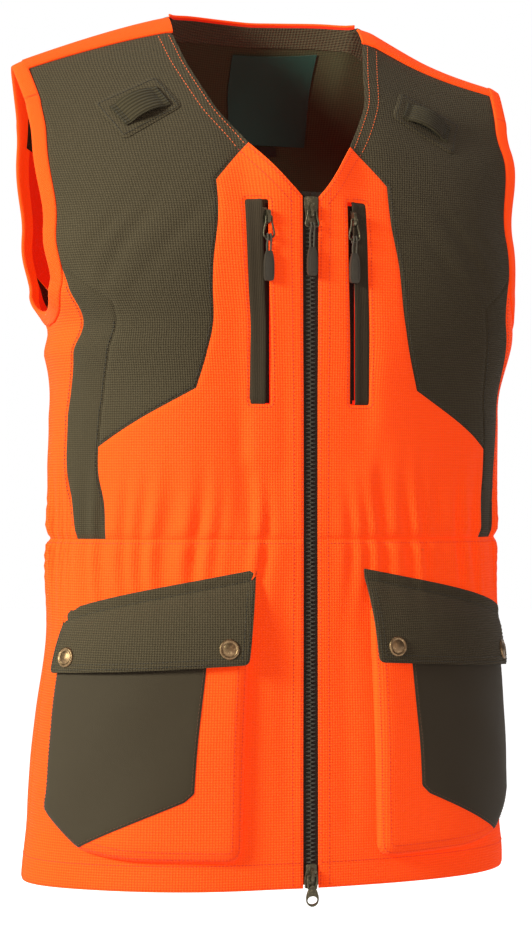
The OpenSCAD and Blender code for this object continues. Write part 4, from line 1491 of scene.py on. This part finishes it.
bag_rows = [kept(offset(bag_ring, d, True), bag_top, 8) for d in (3.0, 9.0)]
over_row = kept(offset(overlay_ring, 2.0, True),
                np.array([OVERLAY[0], OVERLAY[-1]]), 30)
flap_rows = [kept(offset(flap_ring, -d, True), np.array(FLAP_TOP), 14)
             for d in (2.4, 6.4)]
fold_row = np.array([(u, fold_z(u) + 1.2) for u in np.arange(53, 232, 3)])


def pieces_of(line):
    """Splits a line where a stretch has been left out."""
    gap = np.linalg.norm(np.diff(line, axis=0), axis=1) > 9
    return [q for q in np.split(line, np.where(gap)[0] + 1) if len(q) > 2]


def turned(rows, side, lift, fold):
    return [on_cloth(mirrored(q, side), lift, fold)
            for r in rows for q in pieces_of(r)]


for side, end in SIDES:
    stitches("stitch_bag" + end, turned(bag_rows, side, bag_lifted, 0.4),
             red_thread)
    stitches("stitch_overlay" + end,
             turned([over_row], side, lambda u, z: bag_height(u, z) + 1.35,
                    0.4), rust_thread)
    stitches("stitch_fold" + end, turned([fold_row], side,
                                         lambda u, z: 2.5 + 0 * u, 0.15),
             dark_thread)
    stitches("stitch_flap" + end, turned(flap_rows, side, flap_lifted, 0.15),
             dark_thread, body="flap" + end)

# Thin orange piping on the back neck edge.
pipe = curve([(u, z + 0.4) for u, z in NECK_BACK], 4)
o = tube("neck_piping", drape(pipe[:, 0], pipe[:, 1], -1.4), 1.0, orange_twill,
         8)
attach(o, "vest")

# CAD nodes that stay, with better materials.
for name, mat in (("chest_zip_r", tape), ("chest_zip_l", tape),
                  ("snap_studs", brass), ("zip_end_box", metal_mat)):
    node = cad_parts[name]
    node.data.materials.clear()
    node.data.materials.append(mat)


# ---------------------------------------------------------------- stage

def stage():
    m = Nodes("floor")
    speck = m.noise(3, 3)
    m.set(Base_Color=m.mix(m.math("MULTIPLY", speck, 0.03),
                           (0.92, 0.92, 0.92, 1), (0.86, 0.86, 0.86, 1)),
          Roughness=m.math("ADD", m.math("MULTIPLY", speck, 0.05), 0.9),
          Emission_Color=(1, 1, 1, 1), Emission_Strength=0.92)
    bpy.ops.mesh.primitive_circle_add(vertices=96, radius=9,
                                      fill_type="NGON",
                                      location=(0, 0, -0.95))
    floor = bpy.context.object
    floor.name = "floor"
    floor.data.materials.append(m.mat)
    floor.visible_diffuse = False
    world = bpy.data.worlds.new("world")
    bpy.context.scene.world = world
    world.use_nodes = True
    tree = world.node_tree
    bg = tree.nodes["Background"]
    path = tree.nodes.new("ShaderNodeLightPath")
    mixer = tree.nodes.new("ShaderNodeMath")
    mixer.operation = "MULTIPLY_ADD"
    tree.links.new(path.outputs["Is Camera Ray"], mixer.inputs[0])
    mixer.inputs[1].default_value = 0.84
    mixer.inputs[2].default_value = 0.16
    tree.links.new(mixer.outputs[0], bg.inputs["Strength"])
    bg.inputs["Color"].default_value = (1, 1, 1, 1)
    for name, place, size, watts, colour in (
            ("key", (-2.55, -0.95, 0.5), 0.8, 98, (0.93, 1.0, 0.86)),
            ("fill", (0.6, -2.7, 0.1), 1.8, 11, (1.0, 0.8, 0.66)),
            ("rim", (1.6, 1.6, 0.6), 1.5, 8, (1.0, 1.0, 1.0)),
            ("top", (0.0, -0.3, 1.6), 1.0, 7, (1.0, 1.0, 1.0))):
        light = bpy.data.lights.new(name, "AREA")
        light.shape = "DISK"
        light.size = size
        light.energy = watts
        light.color = colour
        obj = bpy.data.objects.new(name, light)
        bpy.context.scene.collection.objects.link(obj)
        obj.location = place
        aim = Vector((0, 0, -0.4)) - Vector(place)
        obj.rotation_euler = aim.to_track_quat("-Z", "Y").to_euler()
    scene = bpy.context.scene
    scene.view_settings.view_transform = "Standard"
    scene.view_settings.look = "None"


stage()
